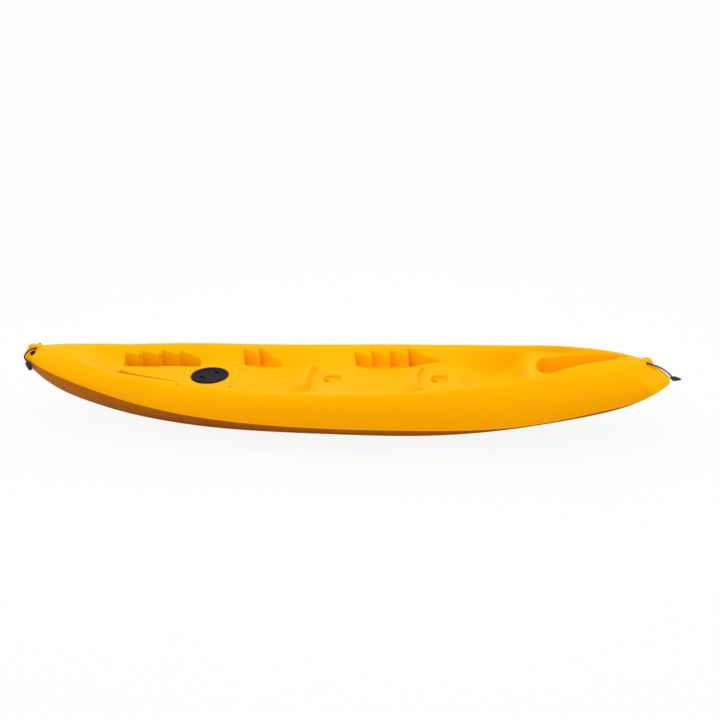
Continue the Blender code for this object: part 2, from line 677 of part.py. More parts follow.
def build_openings():
    """Hull cutters other than the air space; returns the screw holes, which others share."""
    seat = HATCH_SEAT_Z
    hatch_xy = (HATCH_X, 0, 0)
    hull_cylinder("cut_hatch_seat", SEAT_R, seat, seat + .05, hatch_xy, 36)
    hull_cylinder("cut_hatch_hole", HATCH_HOLE_R, seat - .060, seat + .03, hatch_xy, 36)
    screw_holes = cylinder_cutter("cut_screw_holes", [
        (SCREW_HOLE_R, seat - .030, seat + .03, (x, y, 0)) for x, y in SCREW_PLACES])
    cylinder_cutter("cut_scuppers", [(SCUPPER_R, *THROUGH, (x, y, 0)) for x, y in SCUPPERS])
    cylinder_cutter("cut_rope_holes", [
        (ROPE_HOLE_R, -.1, .1, (lug["hole_x"], 0, lug["hole_z"]))
        for lug in (LUG_BOW, LUG_STERN)], axis=(0, 1, 0))
    hull_cylinder("cut_drain_spot", DRAIN_R + .0010, 0, .03, DRAIN_AT, 24, axis=DRAIN_AXIS)
    hull_cylinder("cut_drain_hole", DRAIN_HOLE_R, -.024, .02, DRAIN_AT, 24, axis=DRAIN_AXIS)
    insert_holes = []
    for x, y in INSERTS:
        z = surface_z(x, y)
        insert_holes.append((INSERT_R + GAP, z - INSERT_DEPTH - INSERT_SINK - GAP, z + .03,
                             (x, y, 0)))
    cylinder_cutter("cut_inserts", insert_holes)
    return screw_holes


# ------------------------------------------------------------------ hatch
def build_hatch_gasket(screw_holes):
    o = turned("hatch_gasket", [
        (GASKET_R, GASKET_TOP), (GASKET_R, GAP), (GASKET_BORE_R, GAP),
        (GASKET_BORE_R, GASKET_TOP)], 32, GASKET_RUBBER)
    o.location = HATCH_AT
    cut(o, screw_holes, "screws")


def build_hatch_ring(screw_holes):
    base = GASKET_TOP + GAP
    o = turned("hatch_ring", [
        (.1043, RING_H), (.1080, .0060), (RING_R, .0036), (RING_R, base), (NECK_R, base),
        (NECK_R, NECK_Z), (BORE_R, NECK_Z), (BORE_R, LEDGE_Z), (LID_R, LEDGE_Z),
        (LID_R, .0062), (LID_R + .0010, RING_H)], 36, BLACK)
    o.location = HATCH_AT
    cut(o, screw_holes, "screws")


def finger_slot(name, angle):
    """Kidney-shaped finger recess, about the lid's centre."""
    r_in, r_out, half_angle = .040, .060, math.radians(26)
    z_floor, z_top, floor_scale = -.0045, .02, .985
    points = [(r_out, angle - half_angle + 2 * half_angle * k / 10) for k in range(11)]
    points += [(r_in, angle + half_angle - 2 * half_angle * k / 10) for k in range(11)]
    bm = bmesh.new()
    low = [bm.verts.new((r * math.cos(t) * floor_scale, r * math.sin(t) * floor_scale, z_floor))
           for r, t in points]
    high = [bm.verts.new((r * math.cos(t), r * math.sin(t), z_top)) for r, t in points]
    for i in range(len(points)):
        j = (i + 1) % len(points)
        bm.faces.new((low[i], low[j], high[j], high[i]))
    bm.faces.new(low[::-1])
    bm.faces.new(high)
    bmesh.ops.recalc_face_normals(bm, faces=bm.faces)
    return mesh_of(name, bm)


def build_hatch_lid():
    rim_r, skirt_r = LID_R - LID_SLIP, BORE_R - LID_SLIP
    lid = turned("hatch_lid", [
        (0, .0052), (.0570, .0056), (.0735, .0060), (.0835, .0060), (rim_r, .0045),
        (rim_r, LID_UNDER), (skirt_r, LID_UNDER), (skirt_r, PLUG_Z), (PLUG_R, PLUG_Z),
        (PLUG_R, -.0080), (0, -.0080)], 36, BLACK, closed=False)
    lid.location = HATCH_AT
    for k, angle in enumerate(FINGER_ANGLES):
        name = "finger_%d" % (k + 1)
        slot = add_cutter("cut_" + name, finger_slot("cut_" + name, math.radians(angle)))
        slot.location = HATCH_AT
        cut(lid, slot, name)


def build_lid_o_ring():
    profile = cord_profile((LID_R + BORE_R) / 2, -.01025, .0015)
    turned("lid_o_ring", profile, 36, O_RING_RUBBER).location = HATCH_AT


def build_hatch_screws():
    """Pan-head screws round the ring, all sharing one profile."""
    head = RING_H + GAP
    mesh = profile_mesh("hatch_screw", [
        (0, head + .0022), (.0022, head + .0020), (.0042, head + .0008), (.0042, head),
        (.0018, head), (.0018, -.0120), (0, -.0135)], closed=False)
    mesh.materials.append(STEEL)
    for k, (x, y) in enumerate(SCREW_PLACES):
        o = add("hatch_screw_%d" % (k + 1), mesh)
        turn(o, 12)
        o.location = (x, y, HATCH_SEAT_Z)


# ------------------------------------------------------------------ drain
def build_drain_collar():
    o = turned("drain_collar", [
        (.0165, .0028), (DRAIN_R, .0018), (DRAIN_R, GAP), (.0112, GAP), (.0112, -.0100),
        (.0088, -.0100), (.0088, .0028)], 24, BLACK)
    o.matrix_world = DRAIN_PLACE


def build_drain_plug():
    """Plug with a coin slot across its head."""
    plug = turned("drain_plug", [
        (0, .0075), (.0120, .0072), (.0135, .0062), (.0135, .0050), (.0084, .0050),
        (.0084, -.0085), (.0070, -.0100), (0, -.0100)], 24, BLACK, closed=False)
    plug.matrix_world = DRAIN_PLACE
    slot = add_cutter("cut_coin_slot",
                      box("cut_coin_slot", size=(.0210, .0028, .0040), centre=(0, 0, .0082)))
    slot.matrix_world = DRAIN_PLACE
    cut(plug, slot, "coin_slot")


def build_drain_o_ring():
    profile = cord_profile(.0106, .0039, .0008)
    turned("drain_plug_o_ring", profile, 20, O_RING_RUBBER).matrix_world = DRAIN_PLACE


# ------------------------------------------------------------------ rope handles
ROPE_R = 0.0040
KNOT_R = 0.0082
KNOT_IN = 0.0035             # knot centre inside the grip
STOP_Y = 0.0400              # stopper knot, starboard of the lug
CUP_R = 0.0092

# Outside of a grip: share of its radius, share of its length
BARREL = ((.45, .985), (.78, .90), (.95, .70), (1.0, .45), (.98, .18), (.90, .03))
POINTED = ((.16, .985), (.36, .90), (.62, .72), (.84, .50), (.98, .26), (1.0, .14), (.92, .03))

# The bow grip hangs to port of the stem, the stern grip lies over the tip.
# path is the rope's way from the grip to the lug: x, y, z
HANDLES = (
    dict(side="bow", lug=LUG_BOW, start=(-1.8115, -.0840, .3510),
         direction=(.0135, .0020, -.0480), length=.0520, radius=.0145, form=BARREL,
         path=[(-1.8220, -.0820, .3720), (-1.8265, -.0740, .3870), (-1.8165, -.0560, .4020),
               (-1.8005, -.0365, .4115), (-1.7860, -.0325, .4142)]),
    dict(side="stern", lug=LUG_STERN, start=(1.8625, 0, .3262),
         direction=(.0500, 0, -.0045), length=.0500, radius=.0140, form=POINTED,
         path=[(1.8566, 0, .3365), (1.8530, 0, .3440), (1.8380, 0, .3580),
               (1.8150, -.0020, .3765), (1.7900, -.0080, .3935), (1.7650, -.0210, .4085),
               (1.7440, -.0300, .4190), (1.7320, -.0318, .4230)]),
)


def bend(points, n):
    """Smooth path through points, n places a span."""
    p = [Vector(q) for q in points]
    out = []
    for i in range(len(p) - 1):
        a, b, c, d = p[max(i - 1, 0)], p[i], p[i + 1], p[min(i + 2, len(p) - 1)]
        for k in range(n):
            t = k / n
            out.append(.5 * (2 * b + (c - a) * t + (2 * a - 5 * b + 4 * c - d) * t * t
                             + (3 * b - a - 3 * c + d) * t ** 3))
    out.append(p[-1])
    return out


def cord_mesh(name, points):
    """Round cord with capped ends along a path."""
    curve = bpy.data.curves.new(name, 'CURVE')
    curve.dimensions = '3D'
    curve.bevel_depth = ROPE_R
    curve.bevel_resolution = 1
    curve.use_fill_caps = True
    spline = curve.splines.new('POLY')
    spline.points.add(len(points) - 1)
    for place, p in zip(spline.points, points):
        place.co = (*p, 1)
    carrier = bpy.data.objects.new("tmp", curve)
    CUTTERS.objects.link(carrier)
    mesh = baked(carrier)
    bpy.data.objects.remove(carrier, do_unlink=True)
    bm = bmesh.new()
    bm.from_mesh(mesh)
    bmesh.ops.remove_doubles(bm, verts=bm.verts, dist=.00005)
    bmesh.ops.recalc_face_normals(bm, faces=bm.faces)
    bm.to_mesh(mesh)
    bm.free()
    mesh.name = name
    return mesh


def build_rope(name, points, knots, pivot):
    """Rope with a knot at each end, with its origin on the lug hole's axis."""
    mesh = cord_mesh(name, points)
    mesh.transform(Matrix.Translation(-Vector(pivot)))
    rope = add(name, mesh, ROPE)
    rope.location = pivot
    bm = bmesh.new()
    for knot in knots:
        made = bmesh.ops.create_uvsphere(bm, u_segments=14, v_segments=8, radius=KNOT_R)
        bmesh.ops.translate(bm, vec=knot, verts=made["verts"])
    knot_name = "join_knot_" + name
    joined = add_cutter(knot_name, mesh_of(knot_name, bm))
    cut(rope, joined, "knot", 'UNION').use_self = True
    smooth_faces(mesh, 35)


def build_grip(name, start, way, length, radius, form):
    """Grip with an open cup in its inner end that holds the rope's knot."""
    profile = [(0, length)] + [(radius * a, length * b) for a, b in form] + [
        (CUP_R + .0004, 0), (CUP_R, .0008), (CUP_R, .0110), (0, .0135)]
    o = turned(name, profile, 24, GRIP, closed=False)
    o.matrix_world = Matrix.Translation(start) @ turn_to(way).to_4x4()


def build_handle(side, lug, start, direction, length, radius, form, path):
    """Rope from the knot in its grip, through the lug, to a stopper knot on the far side."""
    hole_x, hole_z = lug["hole_x"], lug["hole_z"]
    start = Vector(start)
    way = Vector(direction).normalized()
    knot = start + way * KNOT_IN
    stop = Vector((hole_x, STOP_Y, hole_z))
    pivot = (hole_x, 0, hole_z)
    points = bend([knot, start - way * .008] + path
                  + [(hole_x, -.0290, hole_z), pivot, stop], 3)
    build_rope(side + "_rope", points, (knot, stop), pivot)
    build_grip(side + "_toggle", start, way, length, radius, form)


# ------------------------------------------------------------------ buoyancy foam
FOAM_SLACK = .012            # free height under the deck
# name, x0, x1, half width
FOAM_BLOCKS = (("foam_block_bow", -1.060, -0.920, .032),
               ("foam_block_stern", 0.760, 0.960, .060))


def build_foam(name, x0, x1, half_width):
    """Foam pillar between the bottom of the hull and the underside of the deck."""
    grid_x, grid_y = np.meshgrid(np.linspace(x0, x1, 9),
                                 np.linspace(-half_width, half_width, 5))
    z0 = float(bottom(grid_x, grid_y).max()) + WALL + .003
    z1 = float(deck(grid_x, grid_y).min()) - WALL - FOAM_SLACK
    o = add(name, box(name, size=(x1 - x0, 2 * half_width, z1 - z0),
                      centre=((x0 + x1) / 2, 0, (z0 + z1) / 2)), FOAM)
    m = o.modifiers.new("soft_edges", 'BEVEL')
    m.width = .006
    m.segments = 1
    m.limit_method = 'ANGLE'


# ------------------------------------------------------------------ assembly
def build_kayak():
    build_hull()
    build_air()
    screw_holes = build_openings()
    build_hatch_gasket(screw_holes)
    build_hatch_ring(screw_holes)
    build_hatch_lid()
    build_lid_o_ring()
    build_hatch_screws()
    build_drain_collar()
    build_drain_plug()
    build_drain_o_ring()
    build_inserts()
    for handle in HANDLES:
        build_handle(**handle)
    for foam in FOAM_BLOCKS:
        build_foam(*foam)


build_kayak()
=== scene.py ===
"""Sit-on-top kayak: hull, deck hatch, drain, inserts, rope handles and foam on a pale floor.

World frame, metres: +X runs from bow (-X) to stern (+X), +Y is starboard, +Z is up. The flat
keel face lies at z = 0 and the hull is centred on x = 0.
"""
import bpy
import bmesh
import json
import math
import numpy as np
from mathutils import Matrix, Vector
from types import SimpleNamespace as Record

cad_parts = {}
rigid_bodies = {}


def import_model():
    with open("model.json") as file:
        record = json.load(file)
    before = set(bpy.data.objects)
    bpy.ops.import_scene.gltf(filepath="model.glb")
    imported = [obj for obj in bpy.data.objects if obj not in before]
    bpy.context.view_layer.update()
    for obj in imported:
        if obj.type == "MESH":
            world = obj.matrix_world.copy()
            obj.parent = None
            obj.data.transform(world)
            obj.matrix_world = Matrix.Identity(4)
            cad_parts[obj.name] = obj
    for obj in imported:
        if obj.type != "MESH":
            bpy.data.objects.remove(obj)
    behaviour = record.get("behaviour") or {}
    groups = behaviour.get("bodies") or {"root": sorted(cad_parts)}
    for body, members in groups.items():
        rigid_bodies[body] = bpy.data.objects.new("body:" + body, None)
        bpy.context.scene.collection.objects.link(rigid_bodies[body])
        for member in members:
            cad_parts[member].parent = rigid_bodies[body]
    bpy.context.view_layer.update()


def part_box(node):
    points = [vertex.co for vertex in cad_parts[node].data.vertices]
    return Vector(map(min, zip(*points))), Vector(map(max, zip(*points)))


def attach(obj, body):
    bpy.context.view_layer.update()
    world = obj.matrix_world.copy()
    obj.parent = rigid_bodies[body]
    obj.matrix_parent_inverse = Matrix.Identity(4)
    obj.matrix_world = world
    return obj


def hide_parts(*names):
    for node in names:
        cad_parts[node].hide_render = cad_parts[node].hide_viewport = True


for old in list(bpy.data.objects):
    bpy.data.objects.remove(old, do_unlink=True)
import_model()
SCENE = bpy.context.scene
TURN = 2 * math.pi

# ------------------------------------------------------------------ driving dimensions
HULL_LENGTH = 3.700          # bow tip to stern tip
HALF = HULL_LENGTH / 2
WALL = 0.0055                # moulded wall
KEEL_Z = 0.0                 # height of the flat keel face
BEAD = .0009                 # parting line bead
NOSE = .012                  # length of the rounding at each tip

# Offsets of the hull, one row a station:
# x, half width at the parting line, height of the parting line, deck crown height,
# deck fullness, deck shoulder, keel height, bottom fullness
OFFSETS = (
    (-1.850, 0.030, 0.362, 0.393, 2.45, 1.83, 0.308, 1.80),
    (-1.740, 0.112, 0.343, 0.413, 2.10, 1.63, 0.196, 1.60),
    (-1.500, 0.206, 0.290, 0.413, 2.45, 1.55, 0.091, 2.00),
    (-1.020, 0.338, 0.215, 0.376, 5.65, 1.38, -0.003, 2.00),
    (-0.520, 0.393, 0.169, 0.348, 10.0, 1.31, -0.012, 2.45),
    (0.000, 0.406, 0.154, 0.351, 12.3, 1.33, -0.012, 2.38),
    (0.520, 0.394, 0.156, 0.384, 9.00, 1.36, -0.004, 2.35),
    (1.020, 0.343, 0.171, 0.438, 4.20, 1.54, 0.020, 1.40),
    (1.500, 0.233, 0.235, 0.458, 2.43, 1.79, 0.105, 1.18),
    (1.740, 0.118, 0.271, 0.412, 1.80, 1.79, 0.212, 1.18),
    (1.850, 0.024, 0.309, 0.331, 2.25, 1.80, 0.299, 1.12),
)
# Line of the gunwale crest in plan: x, y
CREST = (
    (-1.60, .085), (-1.47, .130), (-1.38, .165), (-1.30, .200), (-1.15, .235), (-1.02, .262),
    (-0.75, .300), (-0.52, .325), (-0.20, .342), (0.00, .345), (0.30, .340), (0.52, .328),
    (0.80, .283), (1.00, .243), (1.10, .218), (1.20, .188), (1.30, .142), (1.41, .097),
    (1.53, .053), (1.62, .020))
# Edge of the flat floor inside the crest: x, y
FLOOR_HALF = (
    (-1.60, .015), (-1.47, .030), (-1.30, .050), (-1.02, .090), (-0.75, .135), (-0.52, .145),
    (0.00, .150), (0.52, .150), (0.80, .140), (0.95, .148), (1.05, .168), (1.12, .176),
    (1.20, .162), (1.30, .115), (1.41, .080), (1.53, .042), (1.62, .010))
# Centreline of the cockpit floor: console, hatch flat, front seat, middle seat, rear
# seat, rear backrest: x, z
FLOOR = (
    (-1.60, .425), (-1.50, .390), (-1.40, .342), (-1.30, .302), (-1.20, .284), (-0.95, .270),
    (-0.87, .2625), (-0.75, .2605), (-0.63, .2600), (-0.55, .242), (-0.40, .222),
    (-0.28, .230), (-0.20, .246), (-0.12, .259), (0.00, .269), (0.06, .264), (0.15, .241),
    (0.27, .235), (0.37, .250), (0.45, .271), (0.51, .281), (0.62, .286), (0.69, .280),
    (0.78, .262), (0.90, .258), (0.99, .285), (1.05, .345), (1.085, .374), (1.115, .380),
    (1.20, .386), (1.30, .402), (1.45, .428), (1.62, .470))
# Backrest ridges between the seats: x where it rises, crest from, crest to, foot, height,
# half width; each sweeps aft towards its ends, per metre squared
RIDGES = ((-0.360, -0.188, -0.177, -0.136, .044, .172), (0.280, 0.440, 0.455, 0.476, .028, .172))
RIDGE_SWEEP = 1.3

# Foot wells. Steps: x, y at the step, y where the step ends; each starts with a square face and
# tapers inboard, and leans aft towards the centreline from the line |y| = ref. The outer wall
# runs from x = end to the tail (x, y); close, soft and isoft are the widths of the aft, outer
# and inner walls; inner holds two points x, y of the inner wall; floor is a height.
WELLS = (
    Record(steps=((-1.307, .140, .137), (-1.2045, .169, .156), (-1.088, .196, .177),
                  (-0.979, .207, .190)),
           end=-0.880, tail=(-0.850, .176), close=.014, inner=((-1.30, .042), (-0.775, .150)),
           floor=.130, soft=.010, isoft=.010, lean=.18, ref=.207),
    Record(steps=((-0.6135, .277, .248), (-0.514, .291, .245)),
           end=-0.430, tail=(-0.362, .214), close=.040, inner=((-0.62, .192), (-0.365, .218)),
           floor=.214, soft=.010, isoft=.020, lean=.28, ref=.291),
    Record(steps=((0.0565, .279, .251), (0.162, .290, .258), (0.270, .298, .256),
                  (0.380, .305, .244)),
           end=0.482, tail=(0.566, .212), close=.040, inner=((0.05, .197), (0.56, .217)),
           floor=.228, soft=.010, isoft=.020, lean=.25, ref=.305))

# Stern tank well: outline x, y, its front wall and its floor
TANK = ((1.10, .092), (1.15, .104), (1.20, .112), (1.26, .111), (1.30, .106), (1.41, .083),
        (1.53, .042), (1.61, .002))
TANK_FRONT, TANK_SWEEP = 1.118, 3.0
TANK_FLOOR = 0.300

# Scupper pockets (x0, x1, half width, depth) and scupper tubes (x, y)
POCKETS = ((-0.078, 0.022, .051, .019), (0.538, 0.634, .051, .019))
POCKET_CORNER = .03
SCUPPERS = ((-0.060, 0.0), (0.556, 0.0), (-0.930, 0.150), (-0.930, -0.150), (1.240, 0.0))
SCUPPER_R, SCUPPER_TUBE_R = 0.0125, 0.0190

# End lugs that carry the rope
BOW_LUG = Record(x=-1.785, half_length=.042, half_width=.0180, top=.4290,
                 hole_x=-1.775, hole_z=.4140)
STERN_LUG = Record(x=1.716, half_length=.032, half_width=.0200, top=.4405,
                   hole_x=1.720, hole_z=.4240)
LUGS = (BOW_LUG, STERN_LUG)
ROPE_HOLE_R = 0.0062
ROPE_R = 0.0040

# Deck hatch; the heights are above its seat
HATCH_X, HATCH_SEAT_Z = -0.749, 0.2590
RING_R, NECK_R, LID_R, BORE_R = 0.1100, 0.0915, 0.0856, 0.0782
HATCH_HOLE_R, SEAT_R = 0.0925, 0.1165
RING_H, LEDGE_Z, NECK_Z = 0.0072, -0.0120, -0.0200
LID_SLIP = .0006             # clearance round the lid
SCREW_R, SCREW_N = 0.1008, 8
SCREW_HOLE_R = .0023

# Drain
DRAIN_X, DRAIN_Y = -1.786, -0.0470
DRAIN_R = 0.0175
DRAIN_SUNK = .0035           # depth of the collar seat below the deck

INSERTS = ((-0.600, 0.126), (-0.600, -0.126))
INSERT_R, INSERT_DEPTH = 0.0080, 0.0120

GAP = 0.0003                 # clearance between fitted pieces


# ------------------------------------------------------------------ curves
def cubic(xs, ys, x):
    """Interpolating cubic through the knots, smooth in its second derivative."""
    count, gap = len(xs), np.diff(xs)
    system, right = np.zeros((count, count)), np.zeros(count)
    for i in range(1, count - 1):
        system[i, i - 1:i + 2] = gap[i - 1], 2 * (gap[i - 1] + gap[i]), gap[i]
        right[i] = 6 * ((ys[i + 1] - ys[i]) / gap[i] - (ys[i] - ys[i - 1]) / gap[i - 1])
    system[0, :3] = gap[1], -(gap[0] + gap[1]), gap[0]
    system[-1, -3:] = gap[-1], -(gap[-2] + gap[-1]), gap[-2]
    curve = np.linalg.solve(system, right)
    x = np.asarray(x, float)
    i = np.clip(np.searchsorted(xs, x) - 1, 0, count - 2)
    ahead, behind = xs[i + 1] - x, x - xs[i]
    return (curve[i] * ahead ** 3 + curve[i + 1] * behind ** 3) / (6 * gap[i]) \
        + (ys[i] / gap[i] - curve[i] * gap[i] / 6) * ahead \
        + (ys[i + 1] / gap[i] - curve[i + 1] * gap[i] / 6) * behind


def gentle(table, x):
    """Monotone cubic through a table of pairs: no overshoot between knots."""
    table = np.asarray(table, float)
    xs, ys = table[:, 0], table[:, 1]
    gap = np.diff(xs)
    chord = np.diff(ys) / gap
    slope = np.zeros(len(xs))
    slope[0], slope[-1] = chord[0], chord[-1]
    for i in range(1, len(xs) - 1):
        if chord[i - 1] * chord[i] > 0:
            w1, w2 = 2 * gap[i] + gap[i - 1], gap[i] + 2 * gap[i - 1]
            slope[i] = (w1 + w2) / (w1 / chord[i - 1] + w2 / chord[i])
    x = np.clip(np.asarray(x, float), xs[0], xs[-1])
    i = np.clip(np.searchsorted(xs, x) - 1, 0, len(xs) - 2)
    u = (x - xs[i]) / gap[i]
    return ((1 + 2 * u) * (1 - u) ** 2 * ys[i] + u * (1 - u) ** 2 * gap[i] * slope[i]
            + u * u * (3 - 2 * u) * ys[i + 1] + u * u * (u - 1) * gap[i] * slope[i + 1])


def smooth(t):
    """Soft step from 0 at t = 0 to 1 at t = 1."""
    t = np.clip(t, 0.0, 1.0)
    return t * t * (3 - 2 * t)


# ------------------------------------------------------------------ hull surface
def fair(x):
    """Hull offsets at x."""
    table = np.asarray(OFFSETS, float).T
    x = np.clip(x, table[0, 0], table[0, -1])

    def column(k):
        return cubic(table[0], table[k], x)

    return Record(half=np.maximum(column(1), .004), seam_z=column(2), crown_z=column(3),
                  full=np.exp(cubic(table[0], np.log(table[4]), x)), shoulder=column(5),
                  keel_z=column(6), bilge=np.clip(column(7), .8, 4))


def crown(x, y, line=None, inset=0.0):
    """Height of the plain deck crown, before anything is sunk into it."""
    line = line or fair(x)
    u = np.clip(np.abs(y) / np.maximum(line.half - inset, .002), 0, 1)
    arch = np.clip(1 - u ** line.full, 0, 1) ** (1 / line.shoulder)
    return line.seam_z + (line.crown_z - inset - line.seam_z) * arch


def bottom(x, y, line=None, inset=0.0):
    """Height of the hull bottom, cut off at the flat keel face."""
    line = line or fair(x)
    u = np.clip(np.abs(y) / np.maximum(line.half - inset, .002), 0, 1)
    arch = np.clip(1 - u ** line.bilge, 0, 1) ** (1 / 1.06)
    return np.maximum(line.seam_z - (line.seam_z - line.keel_z - inset) * arch, KEEL_Z + inset)


def well_mask(x, y, well):
    """1 inside a stepped foot well, 0 outside, soft over its walls."""
    side = np.abs(y)
    x = x - well.lean * (well.ref - side)
    xs = [step[0] for step in well.steps] + [well.end]
    outer = np.full(np.broadcast(x, y).shape, -1.0)
    for k, (_, y_start, y_end) in enumerate(well.steps):
        t = np.clip((x - xs[k]) / (xs[k + 1] - xs[k]), 0, 1)
        on_step = (x >= xs[k]) & (x < xs[k + 1])
        outer = np.where(on_step, y_start + (y_end - y_start) * t ** 1.4, outer)
    tail_x, tail_y = well.tail
    last_y = well.steps[-1][2]
    t = np.clip((x - well.end) / (tail_x - well.end), 0, 1)
    tail = last_y + (tail_y - last_y) * smooth(t)
    outer = np.where((x >= well.end) & (x <= tail_x), tail, outer)
    (x0, y0), (x1, y1) = well.inner
    inner = y0 + (y1 - y0) * (x - x0) / (x1 - x0)
    mask = smooth((outer - side) / well.soft) * smooth((side - inner) / well.isoft + 1)
    mask = mask * smooth((tail_x - x) / well.close) * smooth((x - xs[0]) / .006)
    return np.where((x >= xs[0]) & (x <= tail_x), mask, 0.0)


def slant(x, y):
    """How far a station is swept aft beside a foot well, to follow the lean of the steps."""
    side = np.abs(y)
    out = np.zeros(np.broadcast(x, y).shape)
    for well in WELLS:
        gate = smooth((x - well.steps[0][0] + .07) / .06) * smooth((well.end + .07 - x) / .07)
        out = out + (well.lean * np.maximum(well.ref - side, 0)
                     * smooth((side - well.inner[0][1] + .09) / .05) * gate)
    return out


def cockpit_floor(x, side):
    """Height of the seats and of the backrest ridges between them."""
    sweep = (RIDGE_SWEEP * np.minimum(side, .15) ** 2
             * smooth((x + .45) / .15) * smooth((1.0 - x) / .2))
    z = gentle(FLOOR, x - sweep)
    for start, crest_from, crest_to, foot_x, height, half in RIDGES:
        t = np.clip(1 - (side / half) ** 2, 0, 1)
        foot = (foot_x - crest_to) * (.2 + .8 * t)
        climb = np.clip((x - sweep - start) / (crest_from - start), 0, 1) ** 1.6
        z = z + (height * smooth(t / .6) * climb
                 * (1 - smooth((x - sweep - crest_to) / foot)))
    return z


def deck(x, y):
    """Height of the moulded deck."""
    x, y = np.broadcast_arrays(np.asarray(x, float), np.asarray(y, float))
    line = fair(x)
    side = np.abs(y)
    # cockpit bowl between the gunwale crests
    top = crown(x, y, line)
    crest, flat = gentle(CREST, x), gentle(FLOOR_HALF, x)
    rim = crown(x, crest, line)
    floor = cockpit_floor(x, side)
    flank = smooth((side - flat) / np.maximum(crest - flat, .01))
    bowl = np.where(side < crest, floor + (rim - floor) * flank, top)
    inside = smooth((x + 1.60) / .06) * smooth((1.62 - x) / .03)
    z = top + (np.minimum(bowl, top) - top) * inside
    # foot wells, kept clear of the bottom
    under = bottom(x, y, line) + 3.5 * WALL
    for well in WELLS:
        mask = well_mask(x, y, well)
        z = z - mask * np.maximum(z - np.maximum(well.floor, under), 0)
    for x0, x1, half_width, depth in POCKETS:
        dx = np.maximum(np.abs(x - (x0 + x1) / 2) - ((x1 - x0) / 2 - POCKET_CORNER), 0)
        dy = np.maximum(side - (half_width - POCKET_CORNER), 0)
        z = z - depth * smooth((POCKET_CORNER - np.hypot(dx, dy)) / .012)
    # tank well, its floor rising slightly aft
    front = TANK_FRONT + TANK_SWEEP * np.minimum(side, .2) ** 2
    mask = smooth((gentle(TANK, x) - side) / .016) * smooth((x - front) / .020) * (x < 1.61)
    z = z - mask * np.maximum(z - (TANK_FLOOR + .05 * np.maximum(x - 1.3, 0)), 0)
    for lug in LUGS:
        mask = (smooth((lug.half_length - np.abs(x - lug.x)) / .026 + .5)
                * smooth((lug.half_width - side) / .012 + .5))
        z = z + mask * np.maximum(lug.top - z, 0)
    return z


def deck_z(x, y):
    return float(deck(np.array([x]), np.array([y]))[0])


# ------------------------------------------------------------------ mesh helpers
def circle(count):
    return np.linspace(0, TURN, count, endpoint=False)


def revolve(radius, z, angle):
    """Points [row, column, 3] from a column of radii and heights, one column an angle."""
    return np.stack(np.broadcast_arrays(radius * np.cos(angle), radius * np.sin(angle), z), -1)


def columns(profile):
    """Radii and heights of a profile, each as a column."""
    return np.array(profile, float).T[..., None]


def grid_mesh(name, points, loop_rows=False, first=None, last=None):
    """Quad mesh over points [row, column, 3], each row closed round. The rows may close too, or
    the first and last row may fan to a point."""
    rows, width, _ = points.shape
    row = np.arange(rows if loop_rows else rows - 1)
    row, col = np.meshgrid(row, np.arange(width), indexing="ij")
    row2, col2 = (row + 1) % rows, (col + 1) % width
    corners = (row, col), (row, col2), (row2, col2), (row2, col)
    faces = np.stack([r * width + c for r, c in corners], -1).reshape(-1, 4).tolist()
    verts = points.reshape(-1, 3).tolist()
    for tip, start in ((first, 0), (last, (rows - 1) * width)):
        if tip is None:
            continue
        for k in range(width):
            edge = [start + k, start + (k + 1) % width]
            faces.append((edge if start else edge[::-1]) + [len(verts)])
        verts.append([float(v) for v in tip])
    mesh = bpy.data.meshes.new(name)
    mesh.from_pydata(verts, [], faces)
    mesh.validate()
    mesh.update()
    return mesh


def outward(mesh):
    """Merge doubled vertices and turn every face outward."""
    bm = bmesh.new()
    bm.from_mesh(mesh)
    bmesh.ops.remove_doubles(bm, verts=bm.verts, dist=1e-7)
    bmesh.ops.recalc_face_normals(bm, faces=bm.faces)
    if bm.calc_volume(signed=True) < 0:
        bmesh.ops.reverse_faces(bm, faces=bm.faces)
    bm.to_mesh(mesh)
    bm.free()
    return mesh


def cube(size):
    bm = bmesh.new()
    bmesh.ops.create_cube(bm, size=1)
    bmesh.ops.scale(bm, vec=size, verts=bm.verts)
    return bm


def to_mesh(name, bm):
    mesh = bpy.data.meshes.new(name)
    bm.to_mesh(mesh)
    bm.free()
    return mesh


def shade(mesh, angle=40):
    mesh.shade_smooth()
    mesh.set_sharp_from_angle(angle=math.radians(angle))
    return mesh


def rounded(profile, radius, count):
    """Profile of (radius, z) with each inner corner rounded to about the given radius."""
    points = [Vector(point) for point in profile]
    out = [points[0]]
    for before, corner, after in zip(points, points[1:], points[2:]):
        u, v = before - corner, after - corner
        cut = min(radius, u.length * .45, v.length * .45)
        if (u.length < 1e-7 or v.length < 1e-7 or cut < 1e-5
                or abs(u.angle(v) - math.pi) < .15):
            out.append(corner)
            continue
        start, end = corner + u.normalized() * cut, corner + v.normalized() * cut
        for t in np.linspace(0, 1, count + 1):
            out.append(start * (1 - t) ** 2 + corner * 2 * t * (1 - t) + end * t * t)
    out.append(points[-1])
    return [(point.x, point.y) for point in out]


def turned(name, profile, count=96, closed=False):
    """Lathe of a (radius, z) profile about Z. A profile that ends on the axis closes there."""
    profile = list(profile)
    first = last = None
    if not closed:
        if profile[0][0] < 1e-6:
            first = (0, 0, profile.pop(0)[1])
        if profile[-1][0] < 1e-6:
            last = (0, 0, profile.pop()[1])
    points = revolve(*columns(profile), circle(count))
    return outward(grid_mesh(name, points, loop_rows=closed, first=first, last=last))


def hoop(ring_r, cord_r, z, count=160, sides=16):
    """Torus about Z."""
    section = [(ring_r + cord_r * math.cos(a), z + cord_r * math.sin(a)) for a in -circle(sides)]
    return turned("hoop", section, count, closed=True)


def spindle(profile, count=48):
    """Solid cutter, from (radius, z) pairs given from top to bottom on the outside."""
    return turned("cut", [(0, profile[0][1])] + profile + [(0, profile[-1][1])], count)


